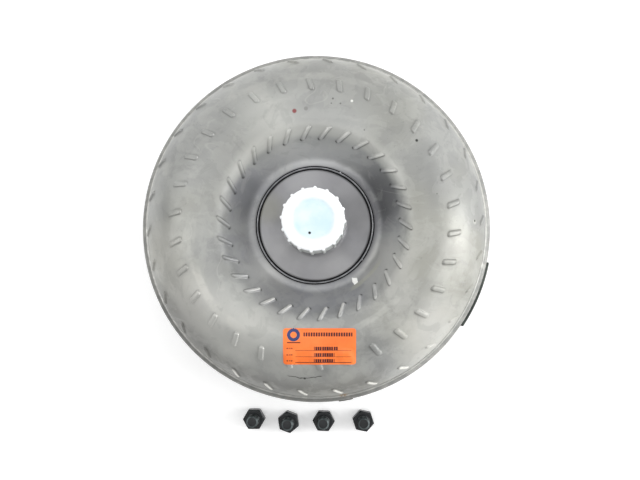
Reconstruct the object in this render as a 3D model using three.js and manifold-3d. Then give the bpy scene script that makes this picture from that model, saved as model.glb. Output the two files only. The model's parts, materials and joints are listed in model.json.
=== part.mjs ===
// Automotive torque converter with a lock-up clutch, in millimetres.
// The axis is Z. The origin is the end face of the engine-side pilot, and +Z points to the pump hub.

import * as THREE from "three";
import Module from "manifold-3d";
import { mergeVertices } from "three/addons/utils/BufferGeometryUtils.js";

const wasm = await Module();
wasm.setup();

// ---------- driving dimensions ----------

const CLEARANCE = 0.3;

// Sides of a full turn, for the big shells, middling rings, small inner pieces, bolts and pins
const FINE = 40;
const MEDIUM = 30;
const COARSE = 24;
const SCREW = 12;
const PIN = 10;

// Front cover, pilot and drive lugs
const COVER_RADIUS = 130;
const COVER_WALL = 4;
const COVER_FACE_Z = 28;
const COVER_CORNER = 12;
const COVER_LIP_Z = 90;
const BOSS_RADIUS = 41;
const BOSS_STEP = 4;
const BOSS_SLOPE = { outside: 5, inside: 7, floor: 2 };
const PILOT_RADIUS = 19;
const PILOT_FLANGE = { radius: 26, thickness: 3 };
const PILOT_CHAMFER = 1.5;
const PILOT_ROOT = 2;
const LUG_COUNT = 4;
const LUG_FIRST_TURN = 45;
const LUG_CIRCLE = 107;
const LUG = { width: 34, depth: 21, corner: 4, faceZ: 11 };
const LUG_HOLE = { radius: 5.1, depth: 16.5 };

// Pump shell: a torus section that runs over a shoulder and down a cone to a flat flange
const SHELL_WALL = 3.5;
const LIP_FIT = 0.2;
const SHELL_RADIUS = COVER_RADIUS - COVER_WALL - LIP_FIT;
const TORUS = new THREE.Vector2(82, 90);
const TORUS_RADIUS = SHELL_RADIUS - TORUS.x;
const SHOULDER_RADIUS = 16;
const SHOULDER_FROM = 105;
const CONE_NORMAL = 132;
const FILLET_RADIUS = 5;
const FLANGE_Z = 114;
const SKIRT_Z = 80;
const SHELL_BORE = 42.6;

// Bumps pressed out of the shell over the blade tabs, in three rows. A row has the turn of its first bump,
// the section angles of a bump's two ends about the torus centre, the turn of its first end, and its width.
const BUMP = { count: 30, height: 0.9, root: 0.8, taper: 0.6 };
const BUMP_ROWS = [
  { first: 11.6, sections: [122, 107.5], lean: 2.95, width: 4.2 },
  { first: 7.8, sections: [74.8, 60.8], lean: -0.8, width: 4.4 },
  { first: 13.8, sections: [33.8, 23.1], lean: -1.57, width: 3.6 },
];

// Pump hub, its weld and the shipping cap
const HUB_FLANGE_RADIUS = 40.6;
const HUB_FLANGE_CHAMFER = 0.4;
const HUB_SEAT = { lip: 3, step: 5 };
const HUB_RADIUS = 20;
const HUB_BORE = 17;
const HUB_TOP_Z = 157;
const HUB_SEAT_Z = 108;
const HUB_ROOT_FILLET = 4;
const HUB_CHAMFER = 1;
const DRIVE_NOTCH = { width: 8, depth: 9 };
const CAP = { bore: 20.35, radius: 21.4, ribRadius: 22.6, lowZ: 129, topZ: 159, ribs: 16 };
const CAP_RIB = { first: 18.9, foot: 0.3, crest: 0.16 };
const CAP_RECESS = { radius: 13.85, depth: 1.2 };
const WELD_CROWN = 0.4;
const RIM_WELD = { slope: 1.6, height: 3.2, section: 6 };

// Balance weight and label
const WEIGHT = { from: 326.3, to: 348.8, gap: 0.1, thickness: 2.8, lowZ: 66, highZ: 84 };
const LABEL = { width: 50.8, height: 25.4, x: 3.8, y: -86.4, gap: 0.35, thickness: 0.25 };

// Core ring and blades
const BLADE_TIP_GAP = 1.3;
const CORE = { x: 86, radius: 16, wall: 1.4, to: 165, steps: 4 };
const PUMP_BLADE = { count: 30, thickness: 1.2, sections: [5, 136], steps: 4 };
const TURBINE_BLADE = { count: 31, thickness: 1.0, sections: [-5, -136], sweep: 26, steps: 4 };

// Turbine
const TURBINE = new THREE.Vector2(TORUS.x, 87);
const TURBINE_HALF = new THREE.Vector2(39.4, 36);
const TURBINE_WALL = 2;
const TURBINE_FLAT = { radius: 48, bore: 34, z: 65.5, from: -140 };
const TURBINE_HUB = { nose: 22, body: 26, flange: 47, boss: 30 };
const TURBINE_HUB_Z = { low: 30, body: 48.2, flange: 60.3, top: 70.6 };
const INPUT_SPLINE = { teeth: 18, tip: 11.6, root: 12.8 };
const RIVET = { count: 6, circle: 40, shank: 2.6, head: 4.4, headHeight: 1.8, gap: 0.05, sides: 8 };
const RIVET_HOLE = 3;
const O_RING = { radius: 21.2, section: 0.75, z: 43.5, groove: 20.3, grooveWidth: 2 };

// Lock-up piston, its lining and the damper
const LINING = { inner: 98, outer: 118, lowZ: 32.7, thickness: 1.2 };
const PISTON = { radius: 119.5, wall: 3.5, bore: 22.35, collar: 27, webZ: 37, topZ: 47.4 };
const PISTON_STEP = { foot: 94, crest: 88, slant: 1 };
const SPRING = { count: 6, circle: 112, z: 47, coil: 5.6, wire: 1.4, arc: 48, turns: 5 };
const RETAINER = { inner: 99, outer: 121.6, lowZ: 38.1, wall: 1.5, lipZ: 52 };
const STOP = { inner: 106, arc: 9, highZ: 46.4 };
const DRIVE_RING = { inner: 95, outer: 103, lowZ: 48.6, highZ: 52.4 };
const DRIVE_TANG = { inner: 102, outer: 118, arc: 9, lowZ: 47.2, highZ: 51.9 };

// Stator and its one-way clutch
const STATOR = { hubInner: 40.3, hubOuter: 46.5, shroudInner: 66, shroudOuter: 68, lowZ: 78, highZ: 101 };
const STATOR_HUB_LOW_Z = 73.6;
const STATOR_HUB_HIGH_Z = 106;
const STATOR_BLADE = { count: 15, thickness: 4.2, tail: 0.25, sweep: 24, foot: 1.5, tip: 1, inset: 0.5 };
const CLUTCH = { rollers: 8, rollerCircle: 30.8, lowZ: 78.5, highZ: 100.2 };
const ROLLER = { radius: 3.5, endGap: 0.6 };
const OUTER_RACE = { radius: 40, land: 28.6, sides: 36 };
const POCKET_RAMP = { arc: 24, deep: 34.7, shallow: 33.7 };
const CAGE = { inner: 28.6, outer: 33, gap: 0.05, wall: 0.7 };
const CAGE_FINGER = { inner: 29.2, outer: 32.6, width: 1.2, turn: 9.6, lowZ: 82.5 };
const INNER_RACE = { outer: 27, lowZ: 77.9, highZ: 101.1 };
const REACTION_SPLINE = { teeth: 18, tip: 15, root: 16.4 };
const STATOR_CAP = { inner: 18.5, outer: 40, thickness: 2.8 };
const SNAP_RING = { inner: 38.4, outer: 41, thickness: 1, gap: 34 };
const SNAP_GROOVE = { depth: 0.5, fit: 0.2 };

// Thrust bearings and washer
const BEARING = { inner: 25, outer: 37, cageWall: 1.2, needles: 10 };
const NEEDLE = { radius: 1.5, length: 9, sides: 6 };
const WASHER = { inner: 12, outer: 21, lowZ: 28.15, highZ: 29.75 };

// Flexplate bolts, M10 x 15, standing on their deep heads beside the converter
const BOLT = { acrossFlats: 16, headHeight: 12, shank: 5, length: 15, tip: 4.1, tipHeight: 1 };
const BOLT_COLLAR = { radius: 7.8, height: 3, hexTop: 11.4 };
const BOLT_PLACES = [
  { x: -54.3, y: -153.4, turn: 0 },
  { x: -25.5, y: -155.8, turn: -21 },
  { x: 4.0, y: -154.9, turn: -3 },
  { x: 37.2, y: -154.8, turn: -12 },
];

const SURFACES = {
  shellSteel: { color: 0xb4b3ab, roughness: 0.5, metalness: 0.75 },
  coverSteel: { color: 0x8f8f8a, roughness: 0.5, metalness: 0.75 },
  machinedSteel: { color: 0x9a9b9c, roughness: 0.35, metalness: 0.9 },
  weldSteel: { color: 0xc2c2bd, roughness: 0.45, metalness: 0.8 },
  stampedSteel: { color: 0x84868a, roughness: 0.45, metalness: 0.85 },
  springSteel: { color: 0x4c4e50, roughness: 0.35, metalness: 0.9 },
  castAluminium: { color: 0xb9bbbd, roughness: 0.5, metalness: 0.8 },
  friction: { color: 0x5b4632, roughness: 0.9, metalness: 0 },
  rubber: { color: 0x1b1b1c, roughness: 0.7, metalness: 0 },
  bronze: { color: 0x9c7a45, roughness: 0.4, metalness: 0.85 },
  capPlastic: { color: 0xeef4f7, roughness: 0.4, metalness: 0 },
  labelPaper: { color: 0xff873c, roughness: 0.6, metalness: 0 },
  blackOxide: { color: 0x1d1e20, roughness: 0.5, metalness: 0.7 },
  weightSteel: { color: 0x3d3f3c, roughness: 0.6, metalness: 0.6 },
};

// ---------- building blocks ----------

const rad = THREE.MathUtils.degToRad;
const converter = new THREE.Group();

function vec(r, z) {
  return new THREE.Vector2(r, z);
}

function polar(radius, degrees) {
  return vec(radius * Math.cos(rad(degrees)), radius * Math.sin(rad(degrees)));
}

function arcPoints(centre, radius, from, to, steps) {
  return Array.from({ length: steps + 1 }, (_, i) => {
    return polar(radius, from + ((to - from) * i) / steps).add(centre);
  });
}

// A solid of revolution about Z. Its profile is a list of (radius, z) points, with both ends on the axis or
// closed by a last edge.
function turned(profile, segments = FINE) {
  const points = profile.map((p) => (p.isVector2 ? p.clone() : vec(p[0], p[1])));
  if (THREE.ShapeUtils.isClockWise(points)) points.reverse();
  if (points[0].x > 0) points.push(points[0].clone());
  return new THREE.LatheGeometry(points, segments).rotateX(Math.PI / 2);
}

function ring(inner, outer, lowZ, highZ, segments = FINE) {
  return turned([[inner, lowZ], [outer, lowZ], [outer, highZ], [inner, highZ]], segments);
}

function plug(radius, lowZ, highZ, segments = FINE) {
  return turned([[0, lowZ], [radius, lowZ], [radius, highZ], [0, highZ]], segments);
}

function prism(shape, lowZ, highZ, curveSegments = 6) {
  const options = { depth: highZ - lowZ, bevelEnabled: false, curveSegments };
  return new THREE.ExtrudeGeometry(shape, options).translate(0, 0, lowZ);
}

// Part of a flat ring between two turns about Z.
function sector(inner, outer, from, to, lowZ, highZ, steps = 3) {
  const outline = [
    ...arcPoints(vec(0, 0), outer, from, to, steps),
    ...arcPoints(vec(0, 0), inner, to, from, steps),
  ];
  return prism(new THREE.Shape(outline), lowZ, highZ);
}

// A geometry with only its positions, and each vertex held once.
function welded(geometry, tolerance = 1e-5) {
  const bare = geometry.clone();
  bare.deleteAttribute("normal");
  bare.deleteAttribute("uv");
  return mergeVertices(bare, tolerance);
}

function meshed(positions, faces) {
  const geometry = new THREE.BufferGeometry();
  geometry.setAttribute("position", new THREE.Float32BufferAttribute(positions, 3));
  geometry.setIndex(faces);
  return facingOut(geometry);
}

// A slab whose points are placed by a function of (u, v, w), with w across its thickness. Both of its sides
// are split along the same diagonals, so a twisted slab keeps its thickness.
function slab(uSteps, vSteps, place) {
  const at = (i, j, w) => (i * (vSteps + 1) + j) * 2 + w;
  const positions = [];
  const faces = [];
  const border = [];
  for (let i = 0; i <= uSteps; i += 1) {
    for (let j = 0; j <= vSteps; j += 1) {
      positions.push(...place(i / uSteps, j / vSteps, 0), ...place(i / uSteps, j / vSteps, 1));
      if (i === uSteps || j === vSteps) continue;
      faces.push(at(i, j, 1), at(i + 1, j, 1), at(i + 1, j + 1, 1));
      faces.push(at(i, j, 1), at(i + 1, j + 1, 1), at(i, j + 1, 1));
      faces.push(at(i + 1, j + 1, 0), at(i + 1, j, 0), at(i, j, 0));
      faces.push(at(i, j + 1, 0), at(i + 1, j + 1, 0), at(i, j, 0));
    }
  }
  for (let i = 0; i < uSteps; i += 1) border.push([i, 0, i + 1, 0], [i + 1, vSteps, i, vSteps]);
  for (let j = 0; j < vSteps; j += 1) border.push([uSteps, j, uSteps, j + 1], [0, j + 1, 0, j]);
  for (const [ia, ja, ib, jb] of border) {
    faces.push(at(ia, ja, 0), at(ib, jb, 0), at(ib, jb, 1));
    faces.push(at(ia, ja, 0), at(ib, jb, 1), at(ia, ja, 1));
  }
  return meshed(positions, faces);
}

function signedVolume(geometry) {
  const [a, b, c] = [new THREE.Vector3(), new THREE.Vector3(), new THREE.Vector3()];
  const { position } = geometry.attributes;
  const { array } = geometry.index;
  let total = 0;
  for (let i = 0; i < array.length; i += 3) {
    a.fromBufferAttribute(position, array[i]);
    b.fromBufferAttribute(position, array[i + 1]);
    c.fromBufferAttribute(position, array[i + 2]);
    total += a.dot(b.cross(c)) / 6;
  }
  return total;
}

function facingOut(geometry) {
  if (signedVolume(geometry) < 0) geometry.index.array.reverse();
  return geometry;
}

function solid(geometry) {
  const merged = welded(geometry, 1e-4);
  const corners = [];
  for (let i = 0; i < merged.index.count; i += 3) {
    const [a, b, c] = merged.index.array.slice(i, i + 3);
    if (a !== b && b !== c && c !== a) corners.push(a, b, c);
  }
  return new wasm.Manifold(new wasm.Mesh({
    numProp: 3,
    vertProperties: merged.attributes.position.array,
    triVerts: new Uint32Array(corners),
  }));
}

function fromSolid(body) {
  const mesh = body.getMesh();
  const geometry = new THREE.BufferGeometry();
  geometry.setAttribute("position", new THREE.BufferAttribute(mesh.vertProperties, 3));
  geometry.setIndex(new THREE.BufferAttribute(mesh.triVerts, 1));
  return geometry;
}

function joined(geometries) {
  return fromSolid(geometries.map(solid).reduce((whole, piece) => whole.add(piece)));
}

function cut(geometry, tools) {
  return fromSolid(tools.map(solid).reduce((whole, tool) => whole.subtract(tool), solid(geometry)));
}

// Copies of a shape, evenly spaced about Z.
function around(count, make, first = 0) {
  return Array.from({ length: count }, (_, i) => make(i).rotateZ(rad(first + (360 * i) / count)));
}

function surface(name) {
  return new THREE.MeshStandardMaterial(SURFACES[name]);
}

function add(name, geometry, finish, turn = 0) {
  const mesh = new THREE.Mesh(geometry, surface(finish));
  mesh.name = name;
  mesh.rotation.z = rad(turn);
  converter.add(mesh);
  return mesh;
}

// Where a ray from a centre, at a section angle, meets an outline in the (radius, z) plane.
function rayHit(outline, centre, degrees) {
  const way = polar(1, degrees);
  for (let i = 0; i + 1 < outline.length; i += 1) {
    const a = outline[i].clone().sub(centre);
    const b = outline[i + 1].clone().sub(centre);
    const [sideA, sideB] = [way.cross(a), way.cross(b)];
    if (sideA * sideB <= 0 && sideA !== sideB) {
      const hit = a.lerp(b, sideA / (sideA - sideB));
      if (hit.dot(way) > 0) return hit.add(centre);
    }
  }
  throw new Error(`no outline at ${degrees} degrees`);
}

function onAxisPlane(point, degrees) {
  return new THREE.Vector3(point.x * Math.cos(rad(degrees)), point.x * Math.sin(rad(degrees)), point.y);
}

// ---------- front cover, pilot and lugs ----------

function frontCover() {
  const inner = COVER_RADIUS - COVER_WALL;
  const insideZ = COVER_FACE_Z + COVER_WALL;
  const cornerCentre = vec(COVER_RADIUS - COVER_CORNER, COVER_FACE_Z + COVER_CORNER);
  return turned([
    [0, COVER_FACE_Z - BOSS_STEP],
    [BOSS_RADIUS, COVER_FACE_Z - BOSS_STEP],
    [BOSS_RADIUS + BOSS_SLOPE.outside, COVER_FACE_Z],
    ...arcPoints(cornerCentre, COVER_CORNER, -90, 0, 3),
    [COVER_RADIUS, COVER_LIP_Z],
    [inner, COVER_LIP_Z],
    ...arcPoints(cornerCentre, COVER_CORNER - COVER_WALL, 0, -90, 2),
    [BOSS_RADIUS + BOSS_SLOPE.inside, insideZ],
    [BOSS_RADIUS + BOSS_SLOPE.floor, insideZ - BOSS_STEP],
    [0, insideZ - BOSS_STEP],
  ]);
}

function pilotHub() {
  const seatZ = COVER_FACE_Z - BOSS_STEP;
  const flangeZ = seatZ - PILOT_FLANGE.thickness;
  return turned([
    [0, 0],
    [PILOT_RADIUS - PILOT_CHAMFER, 0],
    [PILOT_RADIUS, PILOT_CHAMFER],
    [PILOT_RADIUS, flangeZ - PILOT_ROOT],
    [PILOT_RADIUS + PILOT_ROOT, flangeZ],
    [PILOT_FLANGE.radius, flangeZ],
    [PILOT_FLANGE.radius, seatZ],
    [0, seatZ],
  ], MEDIUM);
}

function driveLug() {
  const [x, y, c] = [LUG.depth / 2, LUG.width / 2, LUG.corner];
  const pad = new THREE.Shape();
  pad.absarc(x - c, y - c, c, 0, Math.PI / 2);
  pad.absarc(c - x, y - c, c, Math.PI / 2, Math.PI);
  pad.absarc(c - x, c - y, c, Math.PI, Math.PI * 1.5);
  pad.absarc(x - c, c - y, c, Math.PI * 1.5, Math.PI * 2);
  const block = prism(pad, LUG.faceZ, COVER_FACE_Z, 2);
  const hole = plug(LUG_HOLE.radius, LUG.faceZ - 1, LUG.faceZ + LUG_HOLE.depth, SCREW);
  return cut(block, [hole]).translate(LUG_CIRCLE, 0, 0);
}

// ---------- pump shell ----------

// The shell's outline from its outermost line to its flange, moved inwards by an inset.
function pumpOutline(inset) {
  const shoulder = polar(TORUS_RADIUS - SHOULDER_RADIUS, SHOULDER_FROM).add(TORUS);
  const coneTop = polar(SHOULDER_RADIUS, CONE_NORMAL).add(shoulder);
  const filletZ = FLANGE_Z + FILLET_RADIUS;
  const normal = polar(1, CONE_NORMAL);
  const filletX = coneTop.x + (FILLET_RADIUS - (filletZ - coneTop.y) * normal.y) / normal.x;
  return [
    ...arcPoints(TORUS, TORUS_RADIUS - inset, 0, SHOULDER_FROM, 7),
    ...arcPoints(shoulder, SHOULDER_RADIUS - inset, SHOULDER_FROM, CONE_NORMAL, 2).slice(1),
    ...arcPoints(vec(filletX, filletZ), FILLET_RADIUS + inset, CONE_NORMAL - 180, -90, 1),
    vec(SHELL_BORE, FLANGE_Z - inset),
  ];
}

// The section angle at which a bump starts: its own, or where it comes out from under the label.
function bumpStart(row, turn) {
  const [start] = row.sections;
  const end = onAxisPlane(polar(TORUS_RADIUS, start).add(TORUS), turn);
  const beside = Math.abs(end.x - LABEL.x) > LABEL.width / 2;
  if (beside || Math.abs(end.y - LABEL.y) > LABEL.height / 2) return start;
  const edge = (LABEL.y - LABEL.height / 2 - 1) / Math.sin(rad(turn));
  return THREE.MathUtils.radToDeg(Math.acos((edge - TORUS.x) / TORUS_RADIUS));
}

// A bump over one blade tab: a block that narrows to its top, from inside the shell's wall outwards.
function bump(row, turn) {
  const start = bumpStart(row, turn);
  const end = row.sections[1];
  const middle = (start + end) / 2;
  const lines = [pumpOutline(BUMP.root), pumpOutline(-BUMP.height)];
  return slab(2, 1, (u, v, w) => {
    const taper = w === 1 ? BUMP.taper : 1;
    const section = middle + (u - 0.5) * (end - start) * (1 + taper) / 2;
    const point = rayHit(lines[w], TORUS, section);
    const lean = row.lean * (1 - (2 * (section - row.sections[0])) / (end - row.sections[0]));
    const across = THREE.MathUtils.radToDeg(((v - 0.5) * row.width * taper) / point.x);
    return onAxisPlane(point, turn + lean + across);
  });
}

function pumpShell() {
  const profile = [
    vec(SHELL_RADIUS, SKIRT_Z),
    ...pumpOutline(0),
    ...pumpOutline(SHELL_WALL).reverse(),
    vec(SHELL_RADIUS - SHELL_WALL, SKIRT_Z),
  ];
  const bumps = BUMP_ROWS.flatMap((row) => {
    return Array.from({ length: BUMP.count }, (_, i) => bump(row, row.first + (360 * i) / BUMP.count));
  });
  return joined([turned(profile), ...bumps]);
}

// ---------- blades and core rings ----------

// The core ring's section, on the pump side (side 1) or the turbine side (side -1).
function coreArc(centreZ, side, depth) {
  return arcPoints(vec(CORE.x, centreZ), CORE.radius - depth, 0, CORE.to * side, CORE.steps);
}

// The faces of a bladed ring. Each row holds five points to a blade: one inside the ring, then the blade's
// root and tip on one side, and its tip and root on the other. Rows follow one another along the blade. Both
// sides of a wall are split along the same diagonals, so a twisted wall keeps its thickness.
function bladeWheelFaces(count, steps) {
  const at = (row, i, k) => (row * count + (i % count)) * 5 + k;
  const faces = [];
  for (let i = 0; i < count; i += 1) {
    const fronts = [[i, 1, i, 2], [i, 2, i, 3], [i, 4, i + 1, 1]];
    const backs = [[i, 3, i, 4], [i + 1, 0, i, 0]];
    for (let row = 0; row < steps; row += 1) {
      for (const [ia, ka, ib, kb] of fronts) {
        faces.push(at(row, ia, ka), at(row, ib, kb), at(row + 1, ib, kb));
        faces.push(at(row, ia, ka), at(row + 1, ib, kb), at(row + 1, ia, ka));
      }
      for (const [ia, ka, ib, kb] of backs) {
        faces.push(at(row, ia, ka), at(row, ib, kb), at(row + 1, ia, ka));
        faces.push(at(row, ib, kb), at(row + 1, ib, kb), at(row + 1, ia, ka));
      }
    }
    const caps = [[i, 0, i, 1, i, 4], [i, 1, i, 2, i, 3], [i, 1, i, 3, i, 4]];
    caps.push([i, 0, i, 4, i + 1, 1], [i, 0, i + 1, 1, i + 1, 0]);
    for (const [ia, ka, ib, kb, ic, kc] of caps) {
      faces.push(at(0, ic, kc), at(0, ib, kb), at(0, ia, ka));
      faces.push(at(steps, ia, ka), at(steps, ib, kb), at(steps, ic, kc));
    }
  }
  return faces;
}

// A core ring and its blades in one piece, reaching to the shell along a line of turns.
function bladeWheel(blade, centre, shellSide, side, turnAt) {
  const lines = [coreArc(centre.y, side, CORE.wall), coreArc(centre.y, side, 0), shellSide];
  const positions = [];
  for (let row = 0; row <= blade.steps; row += 1) {
    const section = THREE.MathUtils.lerp(blade.sections[0], blade.sections[1], row / blade.steps);
    const [deep, root, tip] = lines.map((line) => rayHit(line, centre, section));
    for (let i = 0; i < blade.count; i += 1) {
      const turn = (360 * i) / blade.count + turnAt(section);
      for (const [point, way] of [[deep, 0], [root, -1], [tip, -1], [tip, 1], [root, 1]]) {
        const lean = THREE.MathUtils.radToDeg(blade.thickness / 2 / point.x);
        positions.push(...onAxisPlane(point, turn + way * lean));
      }
    }
  }
  return meshed(positions, bladeWheelFaces(blade.count, blade.steps));
}

// The turn of the first impeller blade at a section angle: the parabola through the middles of the bump rows.
function impellerTurn(section) {
  const knots = BUMP_ROWS.map((row) => vec((row.sections[0] + row.sections[1]) / 2, row.first));
  return knots.reduce((sum, knot) => {
    const others = knots.filter((other) => other !== knot);
    return sum + others.reduce((term, other) => (term * (section - other.x)) / (knot.x - other.x), knot.y);
  }, 0);
}

function impellerBlades() {
  const shellSide = pumpOutline(SHELL_WALL + BLADE_TIP_GAP);
  return bladeWheel(PUMP_BLADE, TORUS, shellSide, 1, impellerTurn);
}

// ---------- pump hub, welds, cap, weight and label ----------

function pumpHub() {
  const seat = FLANGE_Z - SHELL_WALL;
  const rootZ = FLANGE_Z + HUB_ROOT_FILLET;
  const body = turned([
    [HUB_BORE, HUB_SEAT_Z],
    [HUB_FLANGE_RADIUS - HUB_SEAT.step, HUB_SEAT_Z],
    [HUB_FLANGE_RADIUS - HUB_SEAT.lip, seat],
    [HUB_FLANGE_RADIUS, seat],
    [HUB_FLANGE_RADIUS, FLANGE_Z - HUB_FLANGE_CHAMFER],
    [HUB_FLANGE_RADIUS - HUB_FLANGE_CHAMFER, FLANGE_Z],
    ...arcPoints(vec(HUB_RADIUS + HUB_ROOT_FILLET, rootZ), HUB_ROOT_FILLET, -90, -180, 2),
    [HUB_RADIUS, HUB_TOP_Z - HUB_CHAMFER],
    [HUB_RADIUS - HUB_CHAMFER, HUB_TOP_Z],
    [HUB_BORE, HUB_TOP_Z],
  ], MEDIUM);
  const notch = new THREE.BoxGeometry(3 * HUB_RADIUS, DRIVE_NOTCH.width, 2 * DRIVE_NOTCH.depth);
  notch.translate(0, 0, HUB_TOP_Z);
  return cut(body, [notch]);
}

function hubWeld() {
  const [inner, outer] = [HUB_FLANGE_RADIUS + CLEARANCE, SHELL_BORE - CLEARANCE];
  const lowZ = FLANGE_Z - SHELL_WALL + CLEARANCE;
  return turned([
    [inner, lowZ],
    [outer, lowZ],
    [outer, FLANGE_Z - WELD_CROWN / 2],
    [(inner + outer) / 2, FLANGE_Z + WELD_CROWN],
    [inner, FLANGE_Z - WELD_CROWN / 2],
  ], MEDIUM);
}

function rimWeld() {
  const flank = rayHit(pumpOutline(-CLEARANCE), TORUS, RIM_WELD.section);
  const lowZ = COVER_LIP_Z + CLEARANCE / 2;
  return turned([
    [SHELL_RADIUS + 2 * CLEARANCE, lowZ],
    [COVER_RADIUS - CLEARANCE, lowZ],
    [COVER_RADIUS - CLEARANCE, COVER_LIP_Z + RIM_WELD.height / 2],
    [COVER_RADIUS - RIM_WELD.slope, COVER_LIP_Z + RIM_WELD.height],
    [flank.x, flank.y],
  ]);
}

function hubCap() {
  const pitch = 360 / CAP.ribs;
  const outline = [];
  for (let i = 0; i < CAP.ribs; i += 1) {
    const turn = CAP_RIB.first + i * pitch;
    const [foot, crest] = [CAP_RIB.foot * pitch, CAP_RIB.crest * pitch];
    outline.push(polar(CAP.radius, turn - foot), polar(CAP.ribRadius, turn - crest));
    outline.push(polar(CAP.ribRadius, turn + crest), polar(CAP.radius, turn + foot));
  }
  const body = prism(new THREE.Shape(outline), CAP.lowZ, CAP.topZ);
  const bore = plug(CAP.bore, CAP.lowZ - 1, HUB_TOP_Z + CLEARANCE / 2, MEDIUM);
  const recess = plug(CAP_RECESS.radius, CAP.topZ - CAP_RECESS.depth, CAP.topZ + 1, MEDIUM);
  return cut(body, [bore, recess]);
}

function balanceWeight() {
  const inner = COVER_RADIUS + WEIGHT.gap;
  return sector(inner, inner + WEIGHT.thickness, WEIGHT.from, WEIGHT.to, WEIGHT.lowZ, WEIGHT.highZ, 6);
}

// A thin sheet that lies on the crown of the shell.
function idLabel() {
  return slab(6, 4, (u, v, w) => {
    const x = LABEL.x + (u - 0.5) * LABEL.width;
    const y = LABEL.y + (v - 0.5) * LABEL.height;
    const out = TORUS_RADIUS + LABEL.gap + w * LABEL.thickness;
    const z = TORUS.y + Math.sqrt(out ** 2 - (Math.hypot(x, y) - TORUS.x) ** 2);
    return new THREE.Vector3(x, y, z);
  });
}

// ---------- turbine ----------

function turbineOutline(inset) {
  const steps = 7;
  const arc = Array.from({ length: steps + 1 }, (_, i) => {
    const unit = polar(1, (TURBINE_FLAT.from * i) / steps);
    return unit.multiply(TURBINE_HALF.clone().subScalar(inset)).add(TURBINE);
  });
  return [
    ...arc,
    vec(TURBINE_FLAT.radius + inset / 2, TURBINE_FLAT.z + inset),
    vec(TURBINE_FLAT.bore, TURBINE_FLAT.z + inset),
  ];
}

function rivetHoles() {
  const [lowZ, highZ] = [TURBINE_HUB_Z.body, TURBINE_HUB_Z.top];
  const hole = () => plug(RIVET_HOLE, lowZ, highZ, PIN).translate(RIVET.circle, 0, 0);
  return around(RIVET.count, hole);
}

function turbineShell() {
  const profile = [...turbineOutline(0), ...turbineOutline(TURBINE_WALL).reverse()];
  return cut(turned(profile, MEDIUM), rivetHoles());
}

function turbineBlades() {
  const sweepAt = (section) => (TURBINE_BLADE.sweep * section) / TURBINE_BLADE.sections[1];
  const shellSide = turbineOutline(TURBINE_WALL + BLADE_TIP_GAP);
  return bladeWheel(TURBINE_BLADE, TURBINE, shellSide, -1, sweepAt);
}

function splineShape(spline) {
  const pitch = 360 / spline.teeth;
  const outline = [];
  for (let i = 0; i < spline.teeth; i += 1) {
    const turn = i * pitch;
    outline.push(polar(spline.tip, turn - 0.22 * pitch), polar(spline.tip, turn + 0.22 * pitch));
    outline.push(polar(spline.root, turn + 0.36 * pitch), polar(spline.root, turn + 0.64 * pitch));
  }
  return new THREE.Shape(outline);
}

function turbineHub() {
  const hub = TURBINE_HUB;
  const heights = TURBINE_HUB_Z;
  const [grooveLow, grooveHigh] = [-1, 1].map((side) => O_RING.z + (side * O_RING.grooveWidth) / 2);
  const body = turned([
    [0, heights.low],
    [hub.nose, heights.low],
    [hub.nose, grooveLow],
    [O_RING.groove, grooveLow],
    [O_RING.groove, grooveHigh],
    [hub.nose, grooveHigh],
    [hub.nose, heights.body],
    [hub.body, heights.body],
    [hub.body, heights.flange],
    [hub.flange, heights.flange],
    [hub.flange, TURBINE_FLAT.z],
    [hub.boss, TURBINE_FLAT.z],
    [hub.boss, heights.top],
    [0, heights.top],
  ], COARSE);
  const bore = prism(splineShape(INPUT_SPLINE), heights.low - 1, heights.top + 1);
  return cut(body, [bore, ...rivetHoles()]);
}

function rivet() {
  const lowZ = TURBINE_HUB_Z.flange - RIVET.gap;
  const highZ = TURBINE_FLAT.z + TURBINE_WALL + RIVET.gap;
  return turned([
    [0, lowZ - RIVET.headHeight],
    [RIVET.head, lowZ - RIVET.headHeight],
    [RIVET.head, lowZ],
    [RIVET.shank, lowZ],
    [RIVET.shank, highZ],
    [RIVET.head, highZ],
    [RIVET.head, highZ + RIVET.headHeight],
    [0, highZ + RIVET.headHeight],
  ], RIVET.sides).translate(RIVET.circle, 0, 0);
}

function oRing() {
  return turned(arcPoints(vec(O_RING.radius, O_RING.z), O_RING.section, 0, 270, 3), COARSE);
}

// ---------- lock-up piston and damper ----------

function lockupPiston() {
  const lowZ = LINING.lowZ + LINING.thickness;
  return turned([
    [PISTON.radius, lowZ],
    [PISTON.radius, lowZ + PISTON.wall],
    [PISTON_STEP.foot + PISTON_STEP.slant, lowZ + PISTON.wall],
    [PISTON_STEP.crest + PISTON_STEP.slant, PISTON.webZ + PISTON.wall],
    [PISTON.collar, PISTON.webZ + PISTON.wall],
    [PISTON.collar, PISTON.topZ],
    [PISTON.bore, PISTON.topZ],
    [PISTON.bore, PISTON.webZ],
    [PISTON_STEP.crest, PISTON.webZ],
    [PISTON_STEP.foot, lowZ],
  ], MEDIUM);
}

function clutchLining() {
  return ring(LINING.inner, LINING.outer, LINING.lowZ, LINING.lowZ + LINING.thickness, MEDIUM);
}

function springRetainer() {
  const { inner, outer, lowZ, wall, lipZ } = RETAINER;
  const tray = turned([
    [inner, lowZ],
    [outer, lowZ],
    [outer, lipZ],
    [outer - wall, lipZ],
    [outer - wall, lowZ + wall],
    [inner, lowZ + wall],
  ], MEDIUM);
  const half = STOP.arc / 2;
  const stop = () => sector(STOP.inner, outer - wall / 2, -half, half, lowZ + wall / 2, STOP.highZ);
  return joined([tray, ...around(SPRING.count, stop)]);
}

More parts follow.
